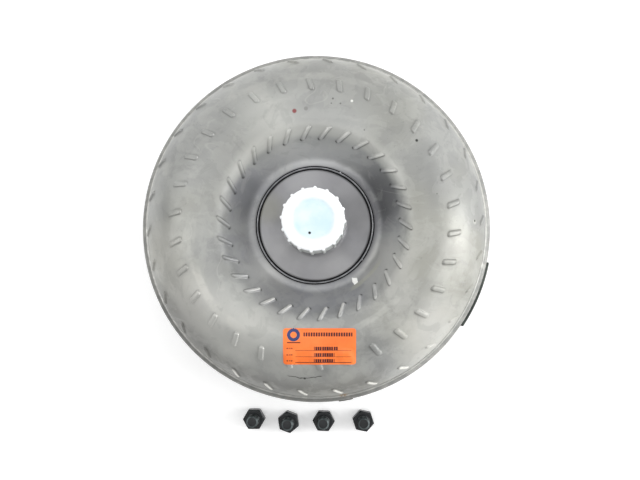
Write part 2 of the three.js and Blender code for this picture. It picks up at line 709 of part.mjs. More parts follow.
function driveRing() {
  const band = ring(DRIVE_RING.inner, DRIVE_RING.outer, DRIVE_RING.lowZ, DRIVE_RING.highZ, MEDIUM);
  const { inner, outer, lowZ, highZ, arc } = DRIVE_TANG;
  const tang = () => sector(inner, outer, -arc / 2, arc / 2, lowZ, highZ);
  return joined([band, ...around(SPRING.count, tang)]);
}

// A coil wound about an arc that lies between two stops.
class ArcSpring extends THREE.Curve {
  getPoint(t, target = new THREE.Vector3()) {
    const along = rad(SPRING.arc * (t - 0.5));
    const coil = Math.PI * 2 * SPRING.turns * t;
    const radius = SPRING.circle + SPRING.coil * Math.cos(coil);
    const z = SPRING.z + SPRING.coil * Math.sin(coil);
    return target.set(radius * Math.cos(along), radius * Math.sin(along), z);
  }
}

function damperSpring() {
  const section = new THREE.Shape(arcPoints(vec(0, 0), SPRING.wire, 0, 270, 3));
  const options = { steps: SPRING.turns * 5, extrudePath: new ArcSpring(), bevelEnabled: false };
  return new THREE.ExtrudeGeometry(section, options);
}

// ---------- stator and one-way clutch ----------

function statorBlade() {
  const { count, thickness, tail, sweep, foot, tip, inset } = STATOR_BLADE;
  return slab(2, 1, (u, v, w) => {
    const radius = THREE.MathUtils.lerp(STATOR.hubOuter - foot, STATOR.shroudInner + tip, v);
    const z = THREE.MathUtils.lerp(STATOR.lowZ + inset, STATOR.highZ - inset, u);
    const thick = thickness * (tail + (1 - tail) * Math.sin(Math.PI * (1 - u) ** 0.7));
    const camber = 2 * sweep * (u - 0.5) ** 2 - (sweep * u) / 2;
    const offset = THREE.MathUtils.radToDeg(((w - 0.5) * thick) / radius);
    return onAxisPlane(vec(radius, z), camber + offset + 180 / count);
  });
}

function statorWheel() {
  const grooveZ = STATOR.highZ + STATOR_CAP.thickness + 2 * CLEARANCE;
  const grooveTopZ = grooveZ + SNAP_RING.thickness + 2 * SNAP_GROOVE.fit;
  const grooveRadius = SNAP_RING.outer + SNAP_GROOVE.depth;
  const hub = turned([
    [STATOR.hubInner, STATOR_HUB_LOW_Z],
    [STATOR.hubOuter, STATOR_HUB_LOW_Z],
    [STATOR.hubOuter, STATOR_HUB_HIGH_Z],
    [STATOR.hubInner, STATOR_HUB_HIGH_Z],
    [STATOR.hubInner, grooveTopZ],
    [grooveRadius, grooveTopZ],
    [grooveRadius, grooveZ],
    [STATOR.hubInner, grooveZ],
  ], MEDIUM);
  const shroud = ring(STATOR.shroudInner, STATOR.shroudOuter, STATOR.lowZ, STATOR.highZ, MEDIUM);
  return joined([hub, shroud, ...around(STATOR_BLADE.count, statorBlade)]);
}

// The race's inside has one ramped pocket for each roller and a land between pockets.
function outerRace() {
  const pitch = 360 / CLUTCH.rollers;
  const inside = [];
  const half = POCKET_RAMP.arc / 2;
  for (let i = 0; i < CLUTCH.rollers; i += 1) {
    const turn = i * pitch;
    inside.push(polar(OUTER_RACE.land, turn - half), polar(POCKET_RAMP.deep, turn - half));
    inside.push(polar(POCKET_RAMP.deep, turn), polar(POCKET_RAMP.shallow, turn + half));
    inside.push(polar(OUTER_RACE.land, turn + half), polar(OUTER_RACE.land, turn + pitch / 2));
  }
  const { radius, sides } = OUTER_RACE;
  const shape = new THREE.Shape(arcPoints(vec(0, 0), radius, 0, 360 - 360 / sides, sides - 1));
  shape.holes.push(new THREE.Path(inside));
  return prism(shape, CLUTCH.lowZ, CLUTCH.highZ);
}

function roller() {
  const length = CLUTCH.highZ - CLUTCH.lowZ - 2 * ROLLER.endGap;
  const middleZ = (CLUTCH.highZ + CLUTCH.lowZ) / 2;
  const pin = new THREE.CylinderGeometry(ROLLER.radius, ROLLER.radius, length, PIN);
  return pin.rotateX(Math.PI / 2).translate(CLUTCH.rollerCircle, 0, middleZ);
}

// A thin ring on the race's end with one spring finger behind each roller.
function springCage() {
  const lowZ = CLUTCH.highZ + CAGE.gap;
  const highZ = lowZ + CAGE.wall;
  const flat = ring(CAGE.inner, CAGE.outer, lowZ, highZ, COARSE);
  const to = -CAGE_FINGER.turn;
  const from = to - THREE.MathUtils.radToDeg(CAGE_FINGER.width / CLUTCH.rollerCircle);
  const middleZ = (lowZ + highZ) / 2;
  const finger = () => sector(CAGE_FINGER.inner, CAGE_FINGER.outer, from, to, CAGE_FINGER.lowZ, middleZ, 1);
  return joined([flat, ...around(CLUTCH.rollers, finger)]);
}

function innerRace() {
  const body = plug(INNER_RACE.outer, INNER_RACE.lowZ, INNER_RACE.highZ, MEDIUM);
  const bore = prism(splineShape(REACTION_SPLINE), INNER_RACE.lowZ - 1, INNER_RACE.highZ + 1);
  return cut(body, [bore]);
}

function statorCap(lowZ) {
  return ring(STATOR_CAP.inner, STATOR_CAP.outer, lowZ, lowZ + STATOR_CAP.thickness, COARSE);
}

function snapRing() {
  const lowZ = STATOR.highZ + STATOR_CAP.thickness + 2 * CLEARANCE + SNAP_GROOVE.fit;
  const half = SNAP_RING.gap / 2;
  return sector(SNAP_RING.inner, SNAP_RING.outer, half, 360 - half, lowZ, lowZ + SNAP_RING.thickness, 18);
}

// ---------- bearings and thrust washer ----------

// A needle thrust bearing: its cage and needles, centred on a height.
function thrustBearing(z) {
  const { inner, outer, cageWall } = BEARING;
  const cage = ring(inner, outer, z - cageWall / 2, z + cageWall / 2, COARSE);
  const needle = () => {
    const pin = new THREE.CylinderGeometry(NEEDLE.radius, NEEDLE.radius, NEEDLE.length, NEEDLE.sides);
    return pin.rotateZ(Math.PI / 2).translate((inner + outer) / 2, 0, z);
  };
  return joined([cage, ...around(BEARING.needles, needle)]);
}

function thrustWasher() {
  return ring(WASHER.inner, WASHER.outer, WASHER.lowZ, WASHER.highZ, COARSE);
}

// ---------- flexplate bolts ----------

function flexplateBolt() {
  const corner = BOLT.acrossFlats / Math.sqrt(3);
  const tipZ = BOLT.headHeight + BOLT.length;
  const head = plug(corner, 0, BOLT_COLLAR.hexTop, 6).rotateZ(Math.PI / 2);
  const collarZ = BOLT.headHeight - BOLT_COLLAR.height;
  const shank = turned([
    [0, collarZ],
    [BOLT_COLLAR.radius, collarZ],
    [BOLT_COLLAR.radius, BOLT.headHeight],
    [BOLT.shank, BOLT.headHeight],
    [BOLT.shank, tipZ - BOLT.tipHeight],
    [BOLT.tip, tipZ],
    [0, tipZ],
  ], SCREW);
  return joined([head, shank]);
}

// ---------- assembly ----------

add("front_cover", frontCover(), "coverSteel");
add("pilot_hub", pilotHub(), "machinedSteel");
for (let i = 0; i < LUG_COUNT; i += 1) {
  add(`drive_lug_${i + 1}`, driveLug(), "coverSteel", LUG_FIRST_TURN + (360 * i) / LUG_COUNT);
}
add("pump_shell", pumpShell(), "shellSteel");
add("impeller_blades", impellerBlades(), "stampedSteel");
add("pump_hub", pumpHub(), "machinedSteel");
add("hub_weld", hubWeld(), "weldSteel");
add("rim_weld", rimWeld(), "weldSteel");
add("balance_weight", balanceWeight(), "weightSteel");
add("id_label", idLabel(), "labelPaper");
add("hub_cap", hubCap(), "capPlastic");

add("turbine_shell", turbineShell(), "stampedSteel");
add("turbine_blades", turbineBlades(), "stampedSteel");
add("turbine_hub", turbineHub(), "machinedSteel");
for (let i = 0; i < RIVET.count; i += 1) {
  add(`turbine_rivet_${i + 1}`, rivet(), "machinedSteel", (360 * i) / RIVET.count);
}
add("hub_o_ring", oRing(), "rubber");
add("damper_drive_ring", driveRing(), "stampedSteel");

add("spring_retainer", springRetainer(), "stampedSteel");
for (let i = 0; i < SPRING.count; i += 1) {
  add(`damper_spring_${i + 1}`, damperSpring(), "springSteel", (360 * (i + 0.5)) / SPRING.count);
}
add("lockup_piston", lockupPiston(), "stampedSteel");
add("clutch_lining", clutchLining(), "friction");

add("stator_wheel", statorWheel(), "castAluminium");
add("overrun_outer_race", outerRace(), "machinedSteel");
for (let i = 0; i < CLUTCH.rollers; i += 1) {
  add(`clutch_roller_${i + 1}`, roller(), "springSteel", (360 * i) / CLUTCH.rollers);
}
add("roller_spring_cage", springCage(), "springSteel");
add("stator_front_cap", statorCap(STATOR.lowZ - CLEARANCE - STATOR_CAP.thickness), "castAluminium");
add("stator_rear_cap", statorCap(STATOR.highZ + CLEARANCE), "castAluminium");
add("stator_snap_ring", snapRing(), "springSteel");
add("inner_race", innerRace(), "machinedSteel");

const frontBearingZ = (TURBINE_HUB_Z.top + STATOR.lowZ - CLEARANCE - STATOR_CAP.thickness) / 2;
const rearBearingZ = (STATOR.highZ + CLEARANCE + STATOR_CAP.thickness + HUB_SEAT_Z) / 2;
add("front_thrust_bearing", thrustBearing(frontBearingZ), "machinedSteel");
add("rear_thrust_bearing", thrustBearing(rearBearingZ), "machinedSteel");
add("thrust_washer", thrustWasher(), "bronze");

BOLT_PLACES.forEach((place, i) => {
  const bolt = add(`flexplate_bolt_${i + 1}`, flexplateBolt(), "blackOxide", place.turn);
  bolt.position.set(place.x, place.y, 0);
});

export default converter;
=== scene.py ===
"""A torque converter and its four loose bolts on a white floor.

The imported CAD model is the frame. The pieces that show are remade here with their real detail, and the
sealed inner pieces keep their CAD shape under a better material. Shapes are worked out in millimetres and
made in metres.
"""

import json
import math

import bpy
import numpy as np
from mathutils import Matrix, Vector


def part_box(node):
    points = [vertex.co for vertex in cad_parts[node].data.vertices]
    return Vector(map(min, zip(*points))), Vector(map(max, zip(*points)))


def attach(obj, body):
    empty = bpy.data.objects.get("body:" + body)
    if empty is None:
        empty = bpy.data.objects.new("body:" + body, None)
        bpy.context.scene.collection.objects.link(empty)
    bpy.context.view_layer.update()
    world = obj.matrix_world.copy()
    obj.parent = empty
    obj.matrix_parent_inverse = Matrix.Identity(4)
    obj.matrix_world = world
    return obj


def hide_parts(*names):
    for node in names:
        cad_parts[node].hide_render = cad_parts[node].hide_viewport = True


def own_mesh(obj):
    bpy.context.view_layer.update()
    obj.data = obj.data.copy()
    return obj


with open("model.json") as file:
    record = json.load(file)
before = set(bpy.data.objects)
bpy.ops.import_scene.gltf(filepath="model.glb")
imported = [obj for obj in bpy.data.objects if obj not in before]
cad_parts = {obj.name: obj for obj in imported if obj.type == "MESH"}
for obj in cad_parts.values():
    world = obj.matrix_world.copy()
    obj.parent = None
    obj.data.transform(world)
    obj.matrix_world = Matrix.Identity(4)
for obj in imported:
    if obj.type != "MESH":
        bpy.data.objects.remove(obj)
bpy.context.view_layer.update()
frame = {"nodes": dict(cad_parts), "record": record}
MM = 0.001
TAU = 2 * math.pi


def low(node):
    """The lowest corner of a CAD node, in millimetres."""
    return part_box(node)[0] / MM


def high(node):
    """The highest corner of a CAD node, in millimetres."""
    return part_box(node)[1] / MM


# ---------- dimensions, from the CAD boxes where they hold them ----------

COVER_RADIUS = high("front_cover").y
COVER_LIP_Z = high("front_cover").z
COVER_FACE_Z = low("front_cover").z + 4
COVER_WALL = 4
COVER_CORNER = 12
BOSS_RADIUS = 41
TORUS_RADIUS = 43.8
TORUS = np.array([82.0, 90.0])
SHOULDER_RADIUS = 16
SHOULDER_FROM = 105
CONE_NORMAL = 132
FILLET_RADIUS = 5
FLANGE_Z = 114
SKIRT_Z = low("pump_shell").z
SHELL_WALL = 3.5
SHELL_BORE = 42.95
BUMP_COUNT = 30
BUMP_PITCH = 360 / BUMP_COUNT
BUMP_CORNER = 1.65
# The rows of raised bumps, from the hub outwards: the turn of a row's first bump, the section angles of a
# bump's ends, the turn of its hub end from its middle, its width, its heights at the hub end and at the other
# end, how soft its clockwise flank and its other flank are, and how much painted shade lies at its foot.
BUMP_ROWS = [
    {"first": 11.6, "sections": (122, 107.5), "lean": 2.95, "width": 3.3, "heights": (1.75, 0.75),
     "flanks": (0.3, 1.3), "foot_shade": 1.0},
    {"first": 7.8, "sections": (74.8, 60.8), "lean": -0.8, "width": 4.2, "heights": (1.05, 1.05),
     "flanks": (0.8, 0.8), "foot_shade": 0.3},
    {"first": 1.8, "sections": (33.8, 23.1), "lean": -1.57, "width": 3.4, "heights": (1.2, 1.2),
     "flanks": (0.8, 0.8), "foot_shade": 0.3},
]
HUB_RADIUS = 20
HUB_BORE = 17
HUB_TOP_Z = high("pump_hub").z
HUB_SEAT_Z = low("pump_hub").z
HUB_FLANGE_RADIUS = 39.95
HUB_NOTCH_DEPTH = 9
HUB_NOTCH_HALF = 4.0
WELD_RADIUS = 41.6
WELD_HALF = 0.48
CAP_RADIUS = 21.3
CAP_TOP_Z = high("hub_cap").z
CAP_LOW_Z = low("hub_cap").z
CAP_RIBS = 16
CAP_RIB_FIRST = 18.9
CAP_RECESS_RADIUS = 13.85
CAP_WEB_DROP = 0.45
PILOT_RADIUS = 19
LABEL_CENTRE = np.array([3.8, -86.4])
LABEL_SIZE = np.array([50.8, 25.4])
FLECK_PLACE = (28.6, -40.3)
WEIGHT_TURNS = (326.3, 348.8)
TACK_TURNS = (277.4, 282.2)
LUG_CIRCLE = 107
LUG_TURNS = (45, 135, 225, 315)
LUG_SIZE = (21, 34)
LUG_CORNER = 4.0
LUG_HOLE = 5.0
LUG_HOLE_DEPTH = 16.5
LUG_WELD_LEG = 1.9
THREAD_PITCH = 1.5
BOLT_HEAD = 12.0
BOLT_HALF_FLATS = 8.0
BOLT_THREAD = 4.95
# The turn of each loose bolt's hexagon.
BOLT_TURNS = (30, 9, 27, 18)
SPRING_CIRCLE = 112.0
SPRING_Z = 47.0
SPRING_COIL = 5.2
SPRING_WIRE = 1.3
SPRING_ARC = 47.0
SPRING_TURNS = 6.5
# The slant of the axis that is worked out for each half of a damper spring.
SPRING_SLANT = 18


# ---------- meshes ----------


def arc(centre, radius, start, end, count):
    """Points on an arc in the (radius, z) plane, between two angles in degrees."""
    turns = np.radians(np.linspace(start, end, count))
    return np.column_stack([centre[0] + radius * np.cos(turns), centre[1] + radius * np.sin(turns)])


def smooth(value, start, end):
    """0 before start, 1 after end, and a smooth rise between them."""
    t = np.clip((value - start) / (end - start), 0, 1)
    return t * t * (3 - 2 * t)


def on_turn(radius, z, turn):
    """A point, or an array of them, at a radius, height and turn about Z in degrees."""
    a = np.radians(turn)
    return np.stack(np.broadcast_arrays(radius * np.cos(a), radius * np.sin(a), z), axis=-1)


def spun(points, turn):
    """Points turned about the Z axis by an angle in degrees."""
    a = math.radians(turn)
    return points @ np.array([[math.cos(a), math.sin(a), 0], [-math.sin(a), math.cos(a), 0], [0, 0, 1]])


def grid_faces(rows, columns, loop_rows, loop_columns, first=0):
    """The quads of a sheet of points, closed along either direction if asked."""
    index = np.arange(rows * columns).reshape(rows, columns) + first
    if loop_columns:
        index = np.hstack([index, index[:, :1]])
    if loop_rows:
        index = np.vstack([index, index[:1]])
    corners = [index[:-1, :-1], index[:-1, 1:], index[1:, 1:], index[1:, :-1]]
    return np.stack(corners, axis=-1).reshape(-1, 4).tolist()


class Shape:
    """Vertices and faces that are gathered into one mesh."""

    def __init__(self):
        self.points = []
        self.faces = []
        self.slots = []

    def grid(self, points, loop_rows=False, loop_columns=True, cap_ends=False):
        """Adds a sheet of quads over rows and columns of points, with flat caps on its end rows if asked."""
        rows, columns = points.shape[:2]
        first = len(self.points)
        faces = grid_faces(rows, columns, loop_rows, loop_columns, first)
        if cap_ends:
            faces.append(list(range(first, first + columns))[::-1])
            faces.append(list(range(first + (rows - 1) * columns, first + rows * columns)))
        self.points.extend(points.reshape(-1, 3).tolist())
        self.faces.extend(faces)
        self.slots.extend([0] * len(faces))
        return self

    def piece(self, name, sharp=35):
        """The shape as a Blender object, with consistent normals and edges sharp past an angle."""
        mesh = bpy.data.meshes.new(name)
        points = np.array(self.points, dtype=float) * MM
        mesh.from_pydata(points.tolist(), [], self.faces)
        mesh.polygons.foreach_set("material_index", self.slots)
        mesh.polygons.foreach_set("use_smooth", [True] * len(self.faces))
        mesh.update()
        if signed_volume(mesh) < 0:
            mesh.flip_normals()
        mesh.set_sharp_from_angle(angle=math.radians(sharp))
        obj = bpy.data.objects.new(name, mesh)
        bpy.context.scene.collection.objects.link(obj)
        return obj


def signed_volume(mesh):
    """Six times the volume inside a mesh, below 0 where its faces point inwards."""
    mesh.calc_loop_triangles()
    corners = np.zeros(len(mesh.loop_triangles) * 3, dtype=np.int32)
    mesh.loop_triangles.foreach_get("vertices", corners)
    co = np.zeros(len(mesh.vertices) * 3)
    mesh.vertices.foreach_get("co", co)
    a, b, c = np.moveaxis(co.reshape(-1, 3)[corners.reshape(-1, 3)], 1, 0)
    return float(np.einsum("ij,ij->i", a, np.cross(b, c)).sum())


def turned(profile, columns, wobble=None):
    """A sheet swept about Z from a (radius, z) profile, whose radii and heights wobble may move by turn."""
    profile = np.asarray(profile, dtype=float)
    turn = np.arange(columns) * 360 / columns
    radius = np.repeat(profile[:, :1], columns, axis=1)
    z = np.repeat(profile[:, 1:], columns, axis=1)
    if wobble is not None:
        radius, z = wobble(radius, z, np.broadcast_to(turn, radius.shape))
    return on_turn(radius, z, turn)


def lathe(name, profile, columns=240, wobble=None, sharp=35, solid=False):
    """A turned piece. A solid one's profile starts and ends near the axis, where flat caps close it."""
    points = turned(profile, columns, wobble)
    return Shape().grid(points, loop_rows=not solid, cap_ends=solid).piece(name, sharp)


def rounded(points, radius, steps=4):
    """An open or closed polyline's inner corners eased by a radius. Points are (r, z) pairs."""
    points = [np.array(p, dtype=float) for p in points]
    out = [points[0]]
    for before, corner, after in zip(points, points[1:], points[2:]):
        to_before = before - corner
        to_after = after - corner
        reach = min(radius, np.linalg.norm(to_before) / 2, np.linalg.norm(to_after) / 2)
        start = corner + to_before / np.linalg.norm(to_before) * reach
        end = corner + to_after / np.linalg.norm(to_after) * reach
        for t in np.linspace(0, 1, steps):
            out.append((1 - t) ** 2 * start + 2 * t * (1 - t) * corner + t**2 * end)
    out.append(points[-1])
    return np.array(out)


def placed(obj, body, materials, nodes=()):
    """Gives a piece its materials and its body, and hides the CAD nodes it stands for."""
    for material in materials:
        obj.data.materials.append(material)
    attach(obj, body)
    if nodes:
        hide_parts(*nodes)
    return obj


# ---------- materials ----------


class Nodes:
    """A node-based material under a Principled shader."""

    def __init__(self, name):
        self.material = bpy.data.materials.new(name)
        self.material.use_nodes = True
        self.tree = self.material.node_tree
        self.shader = self.tree.nodes["Principled BSDF"]
        self.coords = self.node("ShaderNodeTexCoord").outputs["Object"]

    def node(self, kind, **settings):
        """A new node of a kind."""
        made = self.tree.nodes.new(kind)
        for key, value in settings.items():
            setattr(made, key, value)
        return made

    def link(self, source, target):
        """Gives a socket its source: another socket or a fixed value."""
        if isinstance(source, bpy.types.NodeSocket):
            self.tree.links.new(source, target)
        else:
            target.default_value = source

    def noise(self, scale, detail=3, roughness=0.55, distortion=0.0):
        """Noise over the object, from 0 to 1."""
        made = self.node("ShaderNodeTexNoise")
        made.inputs["Scale"].default_value = scale
        made.inputs["Detail"].default_value = detail
        made.inputs["Roughness"].default_value = roughness
        made.inputs["Distortion"].default_value = distortion
        self.link(self.coords, made.inputs["Vector"])
        return made.outputs["Fac"]

    def math(self, operation, a, b=0.0):
        """One operation on two values, or on the first of them."""
        made = self.node("ShaderNodeMath", operation=operation)
        self.link(a, made.inputs[0])
        self.link(b, made.inputs[1])
        return made.outputs[0]

    def plus(self, a, b):
        return self.math("ADD", a, b)

    def times(self, first, *others):
        """The product of two or more values, or the only one."""
        for other in others:
            first = self.math("MULTIPLY", first, other)
        return first

    def apart(self, a, b):
        """How far two values are apart."""
        return self.math("ABSOLUTE", self.math("SUBTRACT", a, b))

    def ramp(self, value, start, end, to_start=0.0, to_end=1.0):
        """A value mapped smoothly from one range to another."""
        made = self.node("ShaderNodeMapRange", interpolation_type="SMOOTHSTEP")
        self.link(value, made.inputs["Value"])
        numbers = {"From Min": start, "From Max": end, "To Min": to_start, "To Max": to_end}
        for key, number in numbers.items():
            made.inputs[key].default_value = number
        return made.outputs["Result"]

    def patches(self, noise, start, end, to_start=0.0, to_end=1.0):
        """Patches of noise whose edges lie between two of its values. The noise is its settings in order."""
        return self.ramp(self.noise(*noise), start, end, to_start, to_end)

    def mix(self, factor, a, b):
        """A colour between two others."""
        made = self.node("ShaderNodeMix", data_type="RGBA")
        self.link(factor, made.inputs["Factor"])
        self.link(colour(a), made.inputs[6])
        self.link(colour(b), made.inputs[7])
        return made.outputs[2]

    def spot(self, x, y, z, radius, soft):
        """1 inside a ball about a point in millimetres, 0 outside, with a soft edge."""
        away = self.node("ShaderNodeVectorMath", operation="DISTANCE")
        self.link(self.coords, away.inputs[0])
        away.inputs[1].default_value = (x * MM, y * MM, z * MM)
        return self.ramp(away.outputs["Value"], (radius - soft) * MM, (radius + soft) * MM, 1.0, 0.0)

    def over(self, base, tint, *masks):
        """A base with a colour laid over it, as strongly as the product of some masks and shares."""
        return self.mix(self.times(*masks), base, tint)

    def stains_and_shading(self, base, stains_and_shading, *masks):
        """A base with soft round patches over it, which serve both for stains and for painted light and
        shade: each one's middle, reach, softness, colour and strength.
        """
        for place, size, soft, tint, share in stains_and_shading:
            base = self.over(base, tint, self.spot(*place, size, soft), share, *masks)
        return base

    def attribute(self, name):
        """A value that the mesh holds at its points."""
        return self.node("ShaderNodeAttribute", attribute_name=name).outputs["Fac"]

    def axis(self, name):
        """A coordinate of the object, in metres."""
        made = self.node("ShaderNodeSeparateXYZ")
        self.link(self.coords, made.inputs[0])
        return made.outputs[name]

    def radius(self):
        """The distance from the Z axis, in metres."""
        flat = self.node("ShaderNodeVectorMath", operation="MULTIPLY")
        self.link(self.coords, flat.inputs[0])
        flat.inputs[1].default_value = (1, 1, 0)
        length = self.node("ShaderNodeVectorMath", operation="LENGTH")
        self.link(flat.outputs[0], length.inputs[0])
        return length.outputs["Value"]

    def bump(self, height, distance, strength=1.0, under=None):
        """A normal tilted by a height, over another bump if there is one."""
        made = self.node("ShaderNodeBump")
        made.inputs["Strength"].default_value = strength
        made.inputs["Distance"].default_value = distance
        self.link(height, made.inputs["Height"])
        if under is not None:
            self.link(under, made.inputs["Normal"])
        return made.outputs["Normal"]

    def done(self, base, roughness, normal=None, **fixed):
        """The finished material, with fixed values on the shader's own sockets."""
        self.link(colour(base), self.shader.inputs["Base Color"])
        self.link(roughness, self.shader.inputs["Roughness"])
        if normal is not None:
            self.link(normal, self.shader.inputs["Normal"])
        for key, value in fixed.items():
            self.shader.inputs[key.replace("_", " ")].default_value = value
        return self.material


def colour(value):
    """An sRGB triple from 0 to 255 as a linear colour; a socket is passed through."""
    if isinstance(value, bpy.types.NodeSocket):
        return value
    linear = [(c / 255 / 12.92) if c <= 10.31 else ((c / 255 + 0.055) / 1.055) ** 2.4 for c in value]
    return (*linear, 1.0)


def plain_metal(name, dark, light, metallic, roughness, grain=400, patch=25, depth=0.00004):
    """A metal with broad patches, fine grain and an uneven sheen."""
    n = Nodes(name)
    patched = n.mix(n.patches((patch, 4), 0.3, 0.7), dark, light)
    base = n.mix(n.patches((grain, 2), 0.35, 0.65, 0.0, 0.25), patched, dark)
    sheen = n.patches((patch * 3, 3), 0.3, 0.7, roughness - 0.07, roughness + 0.07)
    return n.done(base, sheen, n.bump(n.noise(grain * 1.7, 3), depth), Metallic=metallic)


# Painted light and shade on the hub's flange: middle, reach, softness, colour and strength.
FLANGE_SHADING = [
    ((-8, 32, 114), 16, 10, (176, 176, 178), 0.35),
    ((-22, -24, 114), 18, 11, (172, 171, 170), 0.25),
    ((14, -31, 114), 14, 9, (172, 171, 171), 0.35),
    ((34, 10, 114), 15, 10, (118, 118, 119), 0.5),
    ((-34, 12, 114), 10, 7, (140, 140, 128), 0.5),
]


def turned_metal(name, dark, light, metallic, roughness, tint_from=None, stains_and_shading=()):
    """A turned metal face with fine rings about the Z axis, a heat tint outside a radius in metres, and round
    patches of painted light and shade where given.
    """
    n = Nodes(name)
    turns_per_metre, turns_per_height, ring_depth = 1 / (0.35 * MM), 900.0, 0.00001
    phase = n.plus(n.times(n.radius(), turns_per_metre), n.times(n.axis("Z"), turns_per_height))
    rings = n.ramp(n.math("SINE", n.times(phase, TAU)), -1.0, 1.0)
    base = n.over(n.mix(n.patches((30, 4), 0.3, 0.7), dark, light), dark, rings, 0.25)
    if tint_from:
        base = n.mix(n.ramp(n.radius(), tint_from, tint_from + 0.0016, 0.0, 0.8), base, (40, 40, 43))
    # Round patches of painted light and shade, where given.
    base = n.stains_and_shading(base, stains_and_shading)
    sheen = n.patches((90, 3), 0.3, 0.7, roughness - 0.05, roughness + 0.08)
    grain = n.bump(n.noise(900, 2), 0.00001)
    return n.done(base, sheen, n.bump(rings, ring_depth, under=grain), Metallic=metallic)


# Marks on the shell: place, radius, colour and strength.
SHELL_MARKS = [
    ((114.1, 1.7, 119.8), 1.7, (206, 205, 198), 0.4),
    ((114.1, 2.4, 119.8), 0.9, (58, 58, 54), 0.95),
    ((71.8, 57.7, 132.6), 1.0, (48, 48, 46), 0.95),
    ((-13.9, 78.5, 133.7), 1.5, (134, 62, 64), 0.9),
    ((-5.8, 80.2, 133.8), 1.4, (124, 123, 120), 0.6),
    ((13.1, 87.3, 133.4), 0.7, (92, 92, 90), 0.8),
    ((18.4, 83.7, 133.6), 0.6, (104, 104, 102), 0.8),
    ((12.0, 83.9, 133.7), 0.5, (104, 104, 102), 0.8),
    ((26.4, 85.6, 133.1), 0.9, (232, 232, 228), 0.9),
    ((35.1, 65.1, 133.1), 0.5, (112, 112, 110), 0.8),
    ((85.8, 20.1, 133.4), 0.5, (112, 112, 110), 0.8),
    ((-6.9, -109.4, 123.9), 0.8, (52, 52, 48), 0.9),
]
MARK_SOFTNESS = 0.35

# Broad patches on the shell, partly stains in its film and partly painted light and shade: middle, reach,
# softness, colour and strength.
SHELL_PATCHES_AND_SHADING = [
    ((2, 62, 126), 30, 18, (200, 201, 200), 0.6),
    ((2, 48, 115), 14, 8, (182, 183, 184), 0.45),
    ((-30, -38, 116), 12, 8, (172, 172, 170), 0.3),
    ((-32, 74, 133), 22, 13, (194, 195, 190), 0.55),
    ((60, 82, 126), 20, 12, (142, 143, 138), 0.5),
    ((12, 104, 124), 36, 20, (138, 139, 136), 0.4),
    ((6, 80, 133), 26, 14, (150, 151, 148), 0.4),
    ((-46, 58, 130), 18, 11, (152, 153, 150), 0.4),
    ((-34, -36, 118), 16, 10, (184, 184, 181), 0.5),
    ((50, -28, 121), 18, 11, (196, 195, 190), 0.55),
    ((-24, -54, 122), 16, 10, (118, 118, 121), 0.4),
    ((-88, -57, 125), 22, 14, (200, 199, 194), 0.55),
    ((-56, -80, 130), 26, 14, (206, 206, 200), 0.5),
    ((-14, -96, 130), 16, 10, (198, 198, 192), 0.4),
    ((-108, -18, 118), 18, 12, (190, 189, 183), 0.45),
    ((84, -78, 120), 26, 14, (204, 203, 196), 0.55),
    ((102, -18, 128), 14, 9, (158, 157, 153), 0.4),
    ((-62, 42, 130), 15, 8, (146, 147, 145), 0.4),
    ((62, 38, 130), 13, 8, (150, 151, 148), 0.25),
    ((45, 16, 115), 11, 6, (112, 112, 114), 0.4),
]

# Painted shade in the bowl, darkest on its right, which ends at the crown's inner edge. It is given as the
# shell's broad patches are.
BOWL_SHADE = [
    ((46, 20, 119), 20, 11, (88, 88, 91), 0.75),
    ((-49, 22, 121), 16, 10, (110, 111, 116), 0.6),
]

# Wavering stains round the shell: radius, half width, first and last turn, waver, colour and strength.
SHELL_BANDS = [
    (90, 3.2, -170, -120, 9, (208, 207, 200), 0.42),
    (53, 1.2, -68, -24, 3, (190, 190, 174), 0.5),
    (78, 2.0, -75, -20, 7, (198, 198, 192), 0.3),
    (96, 3.5, 20, 75, 9, (150, 151, 148), 0.3),
    (84, 3.0, 100, 165, 9, (152, 153, 149), 0.3),
    (105, 2.8, 60, 130, 8, (194, 194, 188), 0.18),
]


# Mottling of the shell: the noise, the two values between which its edges lie, its strength and colour.
BROAD_MOTTLES = [
    ((8, 3), 0.42, 0.6, 0.5, (162, 161, 149)),
    ((17, 6, 0.6, 0.9), 0.51, 0.58, 0.35, (182, 182, 177)),
    ((24, 5, 0.55, 0.4), 0.56, 0.68, 0.35, (128, 129, 130)),
    ((420, 3, 0.7), 0.6, 0.74, 0.3, (112, 113, 110)),
]
FINE_MOTTLES = [
    ((70, 5, 0.62, 0.6), 0.48, 0.56, 0.14, (196, 196, 191)),
    ((52, 5, 0.6, 1.2), 0.55, 0.62, 0.16, (122, 123, 121)),
]
# The colour of the painted shade on the lower flank.
FLANK_SHADE = (92, 91, 87)


def mottled(n, base, mottles):
    """A base with a list of mottles over it."""
    for noise, start, end, share, tint in mottles:
        base = n.mix(n.patches(noise, start, end, 0.0, share), base, tint)
    return base


def shaded_low_flank(n):
    """1 on the part of the lower flank that gets painted shade, 0 elsewhere."""
    down = n.ramp(n.axis("Z"), 0.127, 0.115)
    near = n.ramp(n.axis("Y"), -0.032, -0.062)
    left = n.ramp(n.axis("X"), 0.06, 0.032)
    return n.times(down, near, left, n.ramp(n.radius(), 0.095, 0.105))


def scratched(n, base):
    """A thin wavering scratch below the label, on the outer flank."""
    x, y = n.times(n.axis("X"), 1 / MM), n.times(n.axis("Y"), 1 / MM)
    from_middle = n.plus(x, 6.9)
    sag = n.times(from_middle, from_middle, 0.011)
    waver = n.times(n.math("SUBTRACT", n.noise(190, 3), 0.5), 2.6)
    line = n.ramp(n.apart(y, n.plus(n.plus(sag, -109.0), waver)), 0.1, 0.5, 1.0, 0.0)
    reach = n.ramp(n.math("ABSOLUTE", from_middle), 11.0, 13.0, 1.0, 0.0)
    return n.over(base, (60, 60, 56), line, reach, 0.85)


